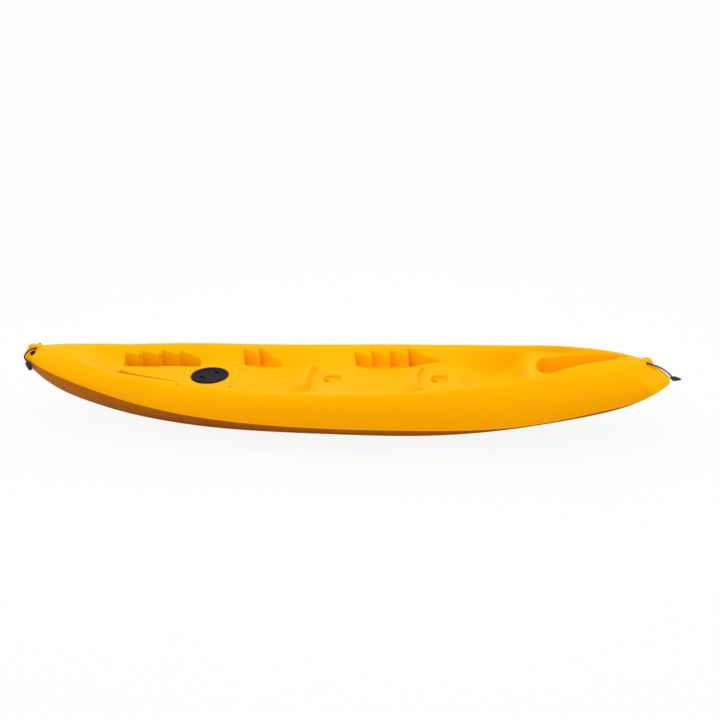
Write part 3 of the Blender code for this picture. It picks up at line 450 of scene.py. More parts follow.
def thread(start, end, pitch, groove):
    """Profile of thread grooves from start to end; each is a list of (radius, z offset), and
    a negative pitch runs down."""
    out = []
    z = start
    while (end - z) * pitch > 0:
        out += [(radius, z + offset) for radius, offset in groove]
        z += pitch
    return out


def slot_cutter(name, size, taper, z, turn=0.0):
    """Box centred at height z, turned about Z, its foot narrowed by taper in x and y."""
    bm = cube(size)
    for vert in bm.verts:
        if vert.co.z < 0:
            vert.co.x *= taper[0]
            vert.co.y *= taper[1]
    if turn:
        bmesh.ops.rotate(bm, verts=bm.verts, cent=(0, 0, 0), matrix=Matrix.Rotation(turn, 3, 'Z'))
    bmesh.ops.translate(bm, verts=bm.verts, vec=(0, 0, z))
    if name == "coin":
        bmesh.ops.bevel(bm, geom=bm.edges[:], offset=.0003, segments=2, affect='EDGES')
    return to_mesh(name, bm)


def at(x, y, z, axis=None):
    """Placement at a point, with local Z along the axis."""
    place = Matrix.Translation((x, y, z))
    if axis is not None:
        place = place @ Vector((0, 0, 1)).rotation_difference(Vector(axis)).to_matrix().to_4x4()
    return place


def carve(mesh, cutters, name):
    """Mesh less a list of (cutter mesh, place), in one exact Boolean."""
    base = bpy.data.objects.new(name, mesh)
    SCENE.collection.objects.link(base)
    group = bpy.data.collections.new(name + "_cutters")
    SCENE.collection.children.link(group)
    made = []
    for k, (cutter, place) in enumerate(cutters):
        obj = bpy.data.objects.new("c%d" % k, cutter)
        group.objects.link(obj)
        if place is not None:
            obj.matrix_world = place
        made.append(obj)
    boolean = base.modifiers.new("carve", 'BOOLEAN')
    boolean.operation = 'DIFFERENCE'
    boolean.solver = 'EXACT'
    boolean.operand_type = 'COLLECTION'
    boolean.collection = group
    bpy.context.view_layer.update()
    graph = bpy.context.evaluated_depsgraph_get()
    out = bpy.data.meshes.new_from_object(base.evaluated_get(graph))
    for obj in made + [base]:
        bpy.data.objects.remove(obj, do_unlink=True)
    bpy.data.collections.remove(group)
    return out


def put(name, mesh, material, body, node, place=None, angle=40):
    """A finished piece: its mesh and material, the body it rides on, the CAD node it
    replaces, its place and the angle above which edges are sharp."""
    shade(mesh, angle)
    mesh.materials.clear()
    mesh.materials.append(material)
    obj = bpy.data.objects.new(name, mesh)
    SCENE.collection.objects.link(obj)
    if place is not None:
        obj.matrix_world = place
    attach(obj, body)
    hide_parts(node)


# ------------------------------------------------------------------ material helper
class Shader:
    """Builds a node material around its Principled BSDF."""

    def __init__(self, name, roughness, metallic=0.0):
        self.material = bpy.data.materials.new(name)
        self.material.use_nodes = True
        self.tree = self.material.node_tree
        self.bsdf = self.tree.nodes["Principled BSDF"]
        self.wire({"Roughness": roughness, "Metallic": metallic})
        self.coord = self.node("TexCoord").outputs["Object"]

    def feed(self, socket, value):
        """Link an output to the socket, or set its value; colours are given as RGB."""
        if isinstance(value, bpy.types.NodeSocket):
            self.tree.links.new(value, socket)
        else:
            socket.default_value = (*value, 1) if socket.type == 'RGBA' else value

    def wire(self, inputs):
        """Feed the Principled BSDF and return the material."""
        for name, value in inputs.items():
            self.feed(self.bsdf.inputs[name], value)
        return self.material

    def node(self, kind, **inputs):
        node = self.tree.nodes.new("ShaderNode" + kind)
        for name, value in inputs.items():
            self.feed(node.inputs[name], value)
        return node

    def span(self, value, over, to=(0, 1)):
        """Value mapped from one range to another, clamped."""
        node = self.node("MapRange", Value=value)
        for name, limit in zip(("From Min", "From Max", "To Min", "To Max"), (*over, *to)):
            node.inputs[name].default_value = limit
        return node.outputs["Result"]

    def noise(self, scale, detail=3, rough=.6, over=None, to=(0, 1), vector=None, distort=0.0):
        """Noise, mapped from the range over to the range to when over is given."""
        fac = self.node("TexNoise", Scale=scale, Detail=detail, Roughness=rough,
                        Distortion=distort, Vector=vector or self.coord).outputs["Fac"]
        return self.span(fac, over, to) if over else fac

    def voronoi(self, scale):
        return self.node("TexVoronoi", Scale=scale, Vector=self.coord).outputs["Distance"]

    def stretch(self, scale, turn=0):
        """Object coordinates, scaled on each axis and turned about Z."""
        return self.node("Mapping", Scale=scale, Rotation=(0, 0, turn),
                         Vector=self.coord).outputs["Vector"]

    def ramp(self, fac, stops):
        node = self.node("ValToRGB", Fac=fac)
        elements = node.color_ramp.elements
        while len(elements) < len(stops):
            elements.new(.5)
        for k, (position, color) in enumerate(stops):
            elements[k].position = position
            elements[k].color = (*color, 1)
        return node.outputs["Color"]

    def math(self, operation, first, second=0.0, clamp=False):
        node = self.node("Math")
        node.operation = operation
        node.use_clamp = clamp
        self.feed(node.inputs[0], first)
        self.feed(node.inputs[1], second)
        return node.outputs[0]

    def product(self, *values, clamp=False):
        """All the values multiplied, the last pair first."""
        out = values[-1]
        for k in reversed(range(len(values) - 1)):
            out = self.math('MULTIPLY', values[k], out, clamp and k == 0)
        return out

    def mix(self, fac, first, second):
        node = self.node("Mix")
        node.data_type = 'RGBA'
        for k, value in ((0, fac), (6, first), (7, second)):
            self.feed(node.inputs[k], value)
        return node.outputs[2]

    def axis(self, vector, name):
        return self.node("SeparateXYZ", Vector=vector).outputs[name]

    def attribute(self, name):
        node = self.node("Attribute")
        node.attribute_name = name
        return node.outputs["Fac"]

    def bump(self, height, distance, strength, under=None):
        node = self.node("Bump", Distance=distance, Strength=strength, Height=height)
        if under is not None:
            self.feed(node.inputs["Normal"], under)
        return node.outputs["Normal"]


# ------------------------------------------------------------------ materials
def polyethylene():
    """Rotomoulded yellow polyethylene: satin skin, fine orange peel, painted shade by the way the
    surface faces (yellow on top, orange on the sides, brown underneath), painted bounce light in
    the wells, faint scuffs."""
    mat = Shader("yellow_polyethylene", roughness=.42)
    up = mat.axis(mat.node("NewGeometry").outputs["Normal"], "Z")
    # painted shade: the colour follows the normal, yellow facing up, orange on the sides, brown
    # facing down
    color = mat.ramp(mat.span(up, over=(-1, 1)), [
        (0.0, (.37, .084, .0004)), (.34, (.43, .105, .0004)), (.486, (.52, .135, .0005)),
        (.503, (.95, .358, .0010)), (.72, (.97, .415, .0012)), (1.0, (.97, .462, .0014))])
    # painted bounce light: the walls of the foot wells and of the tank well are painted brighter,
    # standing in for light bounced from wall to wall
    x, y, z = [mat.axis(mat.coord, name) for name in "XYZ"]
    side = mat.math('ABSOLUTE', y)

    def region(*gates):
        return mat.product(*[mat.span(value, over=(out, full)) for value, out, full in gates])

    wells = region((x, -.55, -.75), (x, -1.42, -1.34), (side, .235, .205))
    wells = mat.math('MAXIMUM', wells, region(
        (x, -.70, -.62), (x, .66, .58), (side, .330, .305), (side, .180, .205)))
    wells = mat.math('MAXIMUM', wells, region(
        (x, 1.08, 1.12), (side, .130, .112), (z, .27, .29)))
    painted_bounce_walls = mat.product(wells, mat.span(up, over=(.80, .45)), mat.span(z, over=(.12, .20)),
                        clamp=True)
    painted_bounce_walls = mat.product(painted_bounce_walls, mat.span(up, over=(-.40, -.20)))
    color = mat.mix(mat.product(painted_bounce_walls, .85), color, (1.0, .52, .0022))
    # slow drift, clouds and specks of colour
    color = mat.mix(mat.noise(1.7, 2, .5, over=(.3, .7), to=(0, .10)), color, (.95, .40, .001))
    color = mat.mix(mat.noise(14, 4, over=(.35, .7), to=(0, .07)), color, (1.0, .56, .004))
    color = mat.mix(mat.noise(900, 2, .7, over=(.62, .78), to=(0, .12)), color, (.82, .34, .001))
    # scuffs: long thin rubs, mostly fore and aft, and a few across
    along = mat.noise(60, 6, .75, vector=mat.stretch((.06, 1.0, 1.3), turn=.05), distort=.3)
    across = mat.noise(75, 5, .7, vector=mat.stretch((1.2, .07, 1.0), turn=.35), distort=.2)
    where = mat.noise(3.1)
    rubs = mat.math('MAXIMUM', mat.span(along, over=(.66, .72)),
                    mat.span(across, over=(.69, .74), to=(0, .7)))
    marks = mat.product(rubs, mat.span(where, over=(.48, .66)), clamp=True)
    # the keel and the bilge take most of the rubbing
    low = mat.span(mat.axis(mat.coord, "Z"), over=(.10, .0), to=(.25, 1.0))
    marks = mat.product(marks, mat.math('MAXIMUM', low, .22), clamp=True)
    color = mat.mix(mat.product(marks, .38), color, (1.0, .60, .06))
    rough = mat.noise(28, 4, over=(.3, .7), to=(.37, .50))
    rough = mat.math('ADD', rough, mat.product(marks, .16))
    rough = mat.math('ADD', rough, mat.noise(420, 2, over=(.3, .7), to=(-.03, .03)))
    peel = mat.noise(330, 3, .55)
    normal = mat.bump(mat.noise(22, 2, .5), distance=.0010, strength=.35)
    normal = mat.bump(peel, distance=.00030, strength=.45, under=normal)
    normal = mat.bump(mat.product(marks, -1.0), distance=.00012, strength=.6, under=normal)
    return mat.wire({"Base Color": color, "Roughness": rough, "Normal": normal,
                     "Specular IOR Level": .025, "Specular Tint": (1.0, .60, .03)})


def black_nylon(name, base, lift):
    """Glass-filled black nylon: fine spark texture, slightly bluish, dusty in patches."""
    mat = Shader(name, roughness=.46)
    color = mat.mix(mat.noise(38, 4, over=(.35, .7), to=(0, .6)), base, lift)
    color = mat.mix(mat.noise(1500, 2, over=(.55, .75), to=(0, .5)), color,
                    tuple(v * 2.2 for v in lift))
    dust = mat.noise(90, 5, .7)
    color = mat.mix(mat.span(dust, over=(.60, .78), to=(0, .10)), color, (.034, .036, .046))
    rough = mat.math('ADD', mat.noise(160, 4, over=(.3, .7), to=(.38, .52)),
                     mat.span(dust, over=(.6, .8), to=(0, .14)))
    normal = mat.bump(mat.noise(1900, 2), distance=.00010, strength=.55)
    normal = mat.bump(mat.noise(130, 3, .5), distance=.00012, strength=.4, under=normal)
    return mat.wire({"Base Color": color, "Roughness": rough, "Normal": normal,
                     "Specular IOR Level": .06})


def seal_rubber(name):
    """Matt black rubber, faintly greyed."""
    mat = Shader(name, roughness=.72)
    return mat.wire({
        "Base Color": mat.mix(mat.noise(240, 4, over=(.4, .7), to=(0, .7)),
                              (.010, .010, .011), (.026, .025, .025)),
        "Roughness": mat.noise(500, over=(.3, .7), to=(.62, .82)),
        "Normal": mat.bump(mat.noise(1300), distance=.00010, strength=.5)})


def grip_rubber():
    """Moulded rubber grip: matt skin with greyed, smoother worn patches."""
    mat = Shader("black_grip_rubber", roughness=.60)
    worn = mat.noise(120, 4, .65)
    color = mat.mix(mat.span(worn, over=(.45, .75), to=(0, .8)),
                    (.0125, .0120, .0170), (.040, .038, .044))
    color = mat.mix(mat.span(mat.voronoi(900), over=(.0, .25), to=(.25, 0)), color,
                    (.055, .052, .055))
    rough = mat.span(worn, over=(.3, .75), to=(.66, .50))
    normal = mat.bump(mat.voronoi(1100), distance=.00016, strength=.5)
    normal = mat.bump(mat.noise(220, 3, .5), distance=.0002, strength=.4, under=normal)
    return mat.wire({"Base Color": color, "Roughness": rough, "Normal": normal,
                     "Sheen Weight": .15})


def rope_cord():
    """Braided polyester cord: the relief of the braid is in the mesh, the yarns and painted shade
    in the grooves between them are here.
    """
    mat = Shader("brown_black_braid", roughness=.82)
    color = mat.mix(mat.attribute("strand"), (.030, .0150, .0070), (.062, .032, .014))
    fibre = mat.noise(700, 4, .7, vector=mat.stretch((1, 1, .25)))
    color = mat.mix(mat.span(fibre, over=(.35, .7), to=(0, .55)), color, (.090, .050, .024))
    # painted shade: darker where the braid sinks between the yarns
    color = mat.mix(mat.span(mat.attribute("depth"), over=(0, 1), to=(.0, .85)), color,
                    (.006, .004, .003))
    return mat.wire({"Base Color": color,
                     "Roughness": mat.span(fibre, over=(.3, .7), to=(.74, .92)),
                     "Normal": mat.bump(fibre, distance=.00025, strength=.6),
                     "Specular IOR Level": .12})


def stainless():
    """Blackened stainless: rings of the tool, small scratches down to the metal."""
    mat = Shader("blackened_stainless_steel", roughness=.45, metallic=.35)
    x, y = [mat.axis(mat.coord, name) for name in "XY"]
    radius = mat.math('SQRT', mat.math('ADD', mat.product(x, x), mat.product(y, y)))
    rings = mat.math('SINE', mat.product(radius, 26000.0))
    scratch = mat.noise(900, 5, .7, vector=mat.stretch((.12, 1, 1), turn=.6))
    color = mat.mix(mat.span(scratch, over=(.5, .7), to=(0, .5)),
                    (.020, .020, .026), (.060, .060, .066))
    color = mat.mix(mat.noise(300, 4, over=(.55, .75), to=(0, .35)), color, (.032, .030, .030))
    rough = mat.span(scratch, over=(.35, .7), to=(.40, .58))
    normal = mat.bump(scratch, distance=.00002, strength=.5)
    normal = mat.bump(rings, distance=.00001, strength=.35, under=normal)
    return mat.wire({"Base Color": color, "Roughness": rough, "Normal": normal})


def brass():
    """Brass with darker tarnish."""
    mat = Shader("brass_insert", roughness=.50, metallic=.15)
    tarnish = mat.noise(420, 5, .65)
    grain = mat.noise(1800, vector=mat.stretch((1, 1, .1)))
    return mat.wire({
        "Base Color": mat.mix(mat.span(tarnish, over=(.40, .72), to=(0, .8)),
                              (.52, .245, .010), (.40, .180, .010)),
        "Roughness": mat.span(tarnish, over=(.35, .7), to=(.28, .52)),
        "Normal": mat.bump(grain, distance=.00002, strength=.5)})


def foam():
    """Closed-cell foam: packed beads, with painted shade in the seams between them."""
    mat = Shader("white_bead_foam", roughness=.95)
    cell = mat.voronoi(240)
    return mat.wire({
        # painted shade: darker towards the seams between the beads, where the bump sinks
        "Base Color": mat.mix(mat.span(cell, over=(.25, .6), to=(0, .8)),
                              (.82, .82, .80), (.58, .57, .54)),
        "Roughness": mat.span(cell, over=(0, .6), to=(.88, .98)),
        "Normal": mat.bump(cell, distance=-.0009, strength=.8)})


YELLOW = polyethylene()
NYLON = black_nylon("black_hatch_nylon", base=(.0042, .0060, .0145), lift=(.0070, .0100, .0230))
NYLON_DRAIN = black_nylon("black_drain_nylon", base=(.0105, .0105, .0150),
                          lift=(.022, .022, .030))
SEAL = seal_rubber("black_seal_rubber")
SEAL_O = seal_rubber("black_o_ring_rubber")
GRIP = grip_rubber()
CORD = rope_cord()
STEEL = stainless()
BRASS = brass()
FOAM = foam()


# ------------------------------------------------------------------ hull skin
def hull_stations():
    """Stations along the hull, crowded where the deck has steps and edges."""
    xs = list(np.linspace(-HALF + NOSE, HALF - NOSE, 430))
    for well in WELLS:
        for step in well.steps:
            xs += [step[0] + d for d in (-.004, -.0015, 0, .0012, .0024, .0036, .0048, .006,
                                         .0078, .0105)]
        xs += [well.end + d for d in (-.006, -.002, .002, .006)]
        xs += [well.tail[0] - .003, well.tail[0] + .002]
    for x0, x1, _, _ in POCKETS:
        for d in (.001, .004, .007, .010, .013, .017):
            xs += [x0 + d, x1 - d]
    for lug in LUGS:
        fore, aft = lug.x - lug.half_length, lug.x + lug.half_length
        xs += list(np.linspace(fore - .014, fore + .016, 9))
        xs += list(np.linspace(aft - .016, aft + .014, 9))
    # the two ridge crests and the front of the tank well
    for start, end, count in ((-.195, -.100, 20), (.435, .512, 20), (1.112, 1.175, 18)):
        xs += list(np.linspace(start, end, count))
    out = []
    for x in sorted(float(v) for v in xs):
        if abs(x) <= HALF - .0119 and (not out or x - out[-1] > .00105):
            out.append(x)
    return np.array(out)


def hull_columns(stations, count):
    """Places of the columns from the centreline to the gunwale, as shares of the half width:
    closer together where the section is steep, and changing slowly from station to station."""
    x = stations[:, None]
    share = np.linspace(0, 1, 700)
    y = fair(stations).half[:, None] * share
    z = deck(x + slant(x, y), y)
    dy = np.diff(y, axis=1)
    step = np.hypot(dy, 2.0 * np.abs(np.diff(z, axis=1)))
    bending = np.abs(np.diff(z, 2, axis=1)) / np.maximum(dy[:, 1:], 1e-6)
    step[:, 1:] += .010 * np.minimum(bending, 1.0)
    step += .30 * step.sum(1, keepdims=True) / step.shape[1]
    blur = np.exp(-((x - stations[None, :]) / .016) ** 2)
    blur /= blur.sum(1, keepdims=True)
    step = blur @ (step / step.sum(1, keepdims=True))
    total = np.concatenate([np.zeros((len(stations), 1)), np.cumsum(step, axis=1)], axis=1)
    total /= total[:, -1:]
    t = np.linspace(0, 1, count + 1)
    return np.stack([np.interp(t, row, share) for row in total])


def rounded_end(end, ring, inward):
    """Rows that round the end section off, from the tip inwards, and the tip itself."""
    middle = (ring[:, 2].max() + ring[:, 2].min()) / 2
    rows = []
    for a in np.linspace(.12, .94, 7) * math.pi / 2:
        row = ring.copy()
        row[:, 0] = end + inward * NOSE * (1 - math.cos(a))
        row[:, 1] *= math.sin(a)
        row[:, 2] = middle + (row[:, 2] - middle) * math.sin(a)
        rows.append(row)
    return np.array(rows), (end, 0, middle)


def hull_skin(deck_columns=84, bottom_columns=34):
    stations = hull_stations()
    x = stations[:, None]
    line = fair(x)
    y = line.half * hull_columns(stations, deck_columns)
    swept = x + slant(x, y)
    z = deck(swept, y)
    low_y = line.half * np.sin(np.linspace(1, 0, bottom_columns + 1) * np.pi / 2)[1:]
    low_z = bottom(x, low_y, line)
    # the parting line: a small rounded bead outside the crease
    bead_y = line.half + BEAD * np.array([.55, 1, .8])
    bead_z = line.seam_z + np.array([.0014, .0002, -.0010])
    plain_x = np.repeat(x, bead_y.shape[1] + low_y.shape[1], 1)
    starboard = np.stack([np.concatenate([swept[:, :-1], plain_x], 1),
                          np.concatenate([y[:, :-1], bead_y, low_y], 1),
                          np.concatenate([z[:, :-1], bead_z, low_z], 1)], -1)
    port = starboard[:, 1:-1][:, ::-1] * (1, -1, 1)
    rings = np.concatenate([starboard, port], 1)
    bow, bow_tip = rounded_end(-HALF, rings[0], 1)
    stern, stern_tip = rounded_end(HALF, rings[-1], -1)
    points = np.concatenate([bow, rings, stern[::-1]], 0)
    return grid_mesh("hull_skin", points, first=bow_tip, last=stern_tip)


# ------------------------------------------------------------------ air space in the hull
AIR_STATIONS = np.concatenate([[-1.812, -1.800, -1.780], np.arange(-1.750, 1.76, .030),
                               [1.775, 1.795, 1.808]])
AIR_COLUMNS = 24             # from the centreline to each side


def air_space():
    """The air space, as coarse facets that stay inside the skin."""
    rings = []
    share = np.linspace(-1, 1, 2 * AIR_COLUMNS + 1)
    for k, x in enumerate(AIR_STATIONS):
        line = fair(x)
        half = float(line.half) - WALL
        reach = max(AIR_STATIONS[min(k + 1, len(AIR_STATIONS) - 1)] - x,
                    x - AIR_STATIONS[max(k - 1, 0)])
        ys = half * np.sin(share * np.pi / 2) * .35 + half * share * .65
        xs = np.full_like(ys, x)
        # lowest deck height near each point, so that no facet cuts through the skin
        near_x = (x + np.linspace(-reach, reach, 9))[:, None, None]
        spread = np.linspace(-half / AIR_COLUMNS, half / AIR_COLUMNS, 7)
        near_y = ys[None, :, None] + spread[None, None, :]
        near_half = fair(near_x).half
        lid = np.minimum(deck(near_x, np.clip(near_y, -near_half, near_half)), .460)
        top = np.where(np.abs(near_y) < near_half - .012, lid, 9.0).min(axis=(0, 2)) - WALL
        top = np.minimum(top, crown(xs, ys, inset=WALL) - .0008)
        top = np.maximum(top, bottom(xs, ys, inset=WALL) + .003)
        top[0] = top[-1] = float(line.seam_z)
        low = half * np.sin(np.linspace(0, 1, 10) * np.pi / 2)
        low_y = np.concatenate([low[::-1][1:], -low[1:-1]])
        low_z = bottom(np.full_like(low_y, x), low_y, inset=WALL)
        rings.append(np.stack([np.full(len(ys) + len(low_y), x), np.concatenate([ys, low_y]),
                               np.concatenate([top, low_z])], -1))
    points = np.array(rings)
    return outward(grid_mesh("air", points, first=points[0].mean(0), last=points[-1].mean(0)))


# ------------------------------------------------------------------ hull cutters
def drain_place():
    """Seat of the drain, square to the deck."""
    h = .012
    slope_x = (deck_z(DRAIN_X + h, DRAIN_Y) - deck_z(DRAIN_X - h, DRAIN_Y)) / (2 * h)
    slope_y = (deck_z(DRAIN_X, DRAIN_Y + h) - deck_z(DRAIN_X, DRAIN_Y - h)) / (2 * h)
    axis = Vector((-slope_x, -slope_y, 1)).normalized()
    seat = Vector((DRAIN_X, DRAIN_Y, deck_z(DRAIN_X, DRAIN_Y))) - axis * DRAIN_SUNK
    return at(*seat, axis=axis)


DRAIN = drain_place()
HATCH = at(HATCH_X, 0, HATCH_SEAT_Z)
# screw centres from the hatch centre
SCREWS = [(SCREW_R * math.cos(a), SCREW_R * math.sin(a)) for a in
          (TURN * (k + .5) / SCREW_N for k in range(SCREW_N))]


def air_posts():
    """Solid posts left standing in the air space round the scuppers and inserts."""
    posts = [(spindle([(SCUPPER_TUBE_R, .6), (SCUPPER_TUBE_R, -.1)], 24), at(x, y, 0))
             for x, y in SCUPPERS]
    radius = INSERT_R + .006
    for x, y in INSERTS:
        foot = deck_z(x, y) - INSERT_DEPTH - .008
        posts.append((spindle([(radius, .6), (radius, foot)], 24), at(x, y, 0)))
    return posts


def hatch_cutter():
    z = HATCH_SEAT_Z
    return spindle([(SEAT_R + .004, z + .05), (SEAT_R + .0022, z + .0030),
                    (SEAT_R + .0004, z + .0008), (SEAT_R - .0004, z),
                    (HATCH_HOLE_R + .0008, z), (HATCH_HOLE_R, z - .0008),
                    (HATCH_HOLE_R, z - .060)], 128)


def scupper_cutter(x, y):
    """Through hole, its mouths flared at the deck and at the bottom."""
    r = SCUPPER_R
    top = deck_z(x, y)
    ground = float(bottom(np.array([x]), np.array([y]))[0])
    arc = np.linspace(0, math.pi / 2, 6)
    profile = [(r + .012, top + .030)]
    profile += [(r + .006 * (1 - math.sin(a)), top + .0008 - .0065 * (1 - math.cos(a)))
                for a in arc]
    profile += [(r + .0045 * (1 - math.cos(a)), ground + .0050 - .0055 * math.sin(a))
                for a in arc]
    return spindle(profile + [(r + .006, ground - .030)], 40)


def rope_hole_cutter():
    """Hole through a lug, both mouths flared."""
    r = ROPE_HOLE_R
    profile = [(r + .0075, .040)]
    profile += [(r + .0035 * (1 - math.cos(a)), .0195 + .005 * math.sin(a))
                for a in np.linspace(math.pi / 2, 0, 6)]
    return spindle(profile + [(radius, -z) for radius, z in profile[::-1]], 40)


def drain_cutter():
    return spindle([(DRAIN_R + .0022, .03), (DRAIN_R + .0016, .0042), (DRAIN_R + .0010, .0020),
                    (DRAIN_R + .0008, 0), (.0118, 0), (.0115, -.0004), (.0115, -.024)], 64)


def insert_cutter(x, y):
    z = deck_z(x, y)
    return spindle([(INSERT_R + .0016, z + .03), (INSERT_R + .0010, z + .0006),
                    (INSERT_R + GAP, z - .0008),
                    (INSERT_R + GAP, z - INSERT_DEPTH - .0012 - GAP)], 40)


def screw_hole_cutter(top, foot):
    return spindle([(SCREW_HOLE_R, top), (SCREW_HOLE_R, foot)], 16)


def build_hull():
    """Skin less the air space and every hole and seat."""
    skin = outward(hull_skin())
    cuts = [(carve(air_space(), air_posts(), "air"), None), (hatch_cutter(), at(HATCH_X, 0, 0))]
    cuts += [(scupper_cutter(x, y), at(x, y, 0)) for x, y in SCUPPERS]
    cuts += [(rope_hole_cutter(), at(lug.hole_x, 0, lug.hole_z, (0, 1, 0))) for lug in LUGS]
    cuts.append((drain_cutter(), DRAIN))
    cuts += [(insert_cutter(x, y), at(x, y, 0)) for x, y in INSERTS]
    cuts += [(screw_hole_cutter(HATCH_SEAT_Z + .01, HATCH_SEAT_Z - .030), at(HATCH_X + x, y, 0))
             for x, y in SCREWS]
    mesh = carve(skin, cuts, "hull")
    mesh.name = "hull_fine"
    return mesh


put("hull_skin_fine", build_hull(), YELLOW, "hull", "hull_shell", angle=38)


# ------------------------------------------------------------------ deck hatch
def hatch_ring_mesh():
    """Flanged ring: a flat land that falls away at its outer edge, eight sunk screw seats, short
    ribs between them, and the bore with its ledge."""
    profile = rounded([(LID_R + .0002, LEDGE_Z), (LID_R, .0056), (LID_R + .0009, RING_H),
                       (.1043, RING_H), (.1080, .0060), (RING_R, .0036), (RING_R, .0018),
                       (NECK_R, .0018), (NECK_R, NECK_Z), (BORE_R, NECK_Z), (BORE_R, LEDGE_Z)],
                      .0009, 4)
    # more rows over the flat land, so that the seats and ribs can be sunk into it
    rows = []
    for p, q in zip(profile, profile[1:] + profile[:1]):
        rows.append(p)
        length = math.hypot(q[0] - p[0], q[1] - p[1])
        if p[1] > .0055 and q[1] > .0055 and length > .0015:
            k = int(length / .0007)
            rows += [(p[0] + (q[0] - p[0]) * i / k, p[1] + (q[1] - p[1]) * i / k)
                     for i in range(1, k)]
    angle = circle(384)
    radius, z = columns(rows)
    x, y = radius * np.cos(angle), radius * np.sin(angle)
    dip = np.zeros_like(x)
    for screw_x, screw_y in SCREWS:
        away = np.hypot(x - screw_x, y - screw_y)
        dip = np.maximum(dip, .0003 * smooth((.0062 - away) / .0010))
        # raised boss round the seat
        dip -= .00045 * smooth((.0078 - away) / .0012) * smooth((away - .0056) / .0008)
    # short radial ribs by the bore, between the screws
    from_screw = np.abs(((angle * SCREW_N / TURN) % 1) - .5)
    rib = smooth((np.cos(angle * 96) - .15) / .5) * (1 - smooth((.30 - from_screw) / .06))
    band = smooth((radius - .0908) / .0008) * smooth((.0942 - radius) / .0008)
    z = z + smooth((z - .0050) / .0010) * (-dip + .00035 * rib * band)
    return outward(grid_mesh("hatch_ring_fine", revolve(radius, z, angle), loop_rows=True))


def hatch_lid_mesh():
    """Lid: shallow dished top with concentric steps, two kidney finger recesses and fine grip
    ribs round the edge; a plain skirt below."""
    angle = circle(288)
    edge = LID_R - LID_SLIP
    r = np.concatenate([np.linspace(.0004, .030, 12)[:-1], np.linspace(.030, .062, 38)[:-1],
                        np.linspace(.062, edge - .0016, 24)])[:, None]
    z = .0052 + .0006 * smooth((r - .062) / .0030) - .0006 * (1 - smooth(r / .055))
    # raised outer ring and the fine groove near the centre
    z = z + .0004 * (smooth((r - .0735) / .0012) - smooth((r - .0780) / .0012))
    z = z - .0005 * (smooth((r - .0228) / .0008) * smooth((.0262 - r) / .0008))
    middle, half_angle = .0500, math.radians(18)
    for centre in (math.radians(48), math.radians(228)):
        away = (angle[None, :] - centre + math.pi) % TURN - math.pi
        along = np.maximum(np.abs(away) - half_angle, 0) * middle
        off = np.hypot(r - middle, along)
        # the recess and the raised lip round it
        z = z - .0080 * smooth((.0100 - off) / .0045)
        z = z + .00040 * smooth((.0128 - off) / .0014) * smooth((off - .0098) / .0012)
    z = z + .00035 * smooth((np.cos(angle * 72) - .2) / .5) * (
        smooth((r - .0802) / .0008) * smooth((edge - .0016 - r) / .0006 + .4))
    skirt_r = BORE_R - LID_SLIP
    side = rounded([(edge - .0016, .0060), (edge, .0047), (edge, -.0085), (skirt_r, -.0085),
                    (skirt_r, -.0190), (.0735, -.0190), (.0735, -.0080), (.004, -.0080)],
                   .0007, 4)[1:]
    points = np.concatenate([revolve(r, z, angle), revolve(*columns(side), angle)], 0)
    return outward(grid_mesh("hatch_lid_fine", points, first=(0, 0, z[0, 0]),
                             last=(0, 0, -.0080)))


def gasket_mesh():
    """Flat gasket under the flange, its edges slightly bulged."""
    profile = rounded([(.1090, .0015), (.10925, .0009), (.1090, .0003), (.0935, .0003),
                       (.09335, .0009), (.0935, .0015)], .0003, 3)
    return turned("gasket", profile, 160, closed=True)


def screw_mesh(turn):
    """Pan head with a cross recess, and a threaded shank."""
    base = RING_H + .0003
    # radius, height above the underside of the head
    head = [(0, .0024), (.0010, .00238), (.0022, .0021), (.0033, .0015), (.0040, .0008),
            (.0042, .0003), (.0041, 0), (.0019, 0)]
    shank = thread(base - .0004, -.0108, -.0007, [(.0019, 0), (.0016, -.00035)])
    mesh = turned("screw", [(r, base + z) for r, z in head] + shank
                  + [(.0012, -.0122), (0, -.0135)], 40)
    cuts = [(slot_cutter("cross", size=(.0044, .0009, .0030), taper=(.35, .7),
                         z=base + .0022, turn=arm + turn), None) for arm in (0, math.pi / 2)]
    return carve(mesh, cuts, "screw")


RING_CUTS = [(screw_hole_cutter(.02, -.02), at(x, y, 0)) for x, y in SCREWS]
put("hatch_ring_fine", carve(hatch_ring_mesh(), RING_CUTS, "ring"), NYLON,
    "hull", "hatch_ring", HATCH, angle=35)
put("hatch_lid_fine", hatch_lid_mesh(), NYLON, "lid", "hatch_lid", HATCH,
    angle=45)
put("lid_o_ring_fine", hoop((LID_R + BORE_R) / 2, .0015, -.01025), SEAL_O,
    "lid_seal", "lid_o_ring", HATCH, angle=60)
put("hatch_gasket_fine", carve(gasket_mesh(), RING_CUTS, "gasket"), SEAL,
    "hull", "hatch_gasket", HATCH)
for k, (x, y) in enumerate(SCREWS):
    put("hatch_screw_fine_%d" % (k + 1), screw_mesh(.7 * k + .3 * math.sin(3.1 * k)), STEEL,
        "hull", "hatch_screw_%d" % (k + 1),
        at(HATCH_X + x, y, HATCH_SEAT_Z), angle=30)


# ------------------------------------------------------------------ drain
def collar_mesh():
    corners = [(.0165, .0028), (DRAIN_R, .0018), (DRAIN_R, GAP), (.0112, GAP),
               (.0112, -.0100), (.0088, -.0100), (.0088, .0028)]
    return turned("collar", rounded(corners + corners[:1], .0004, 3)[:-1], closed=True)


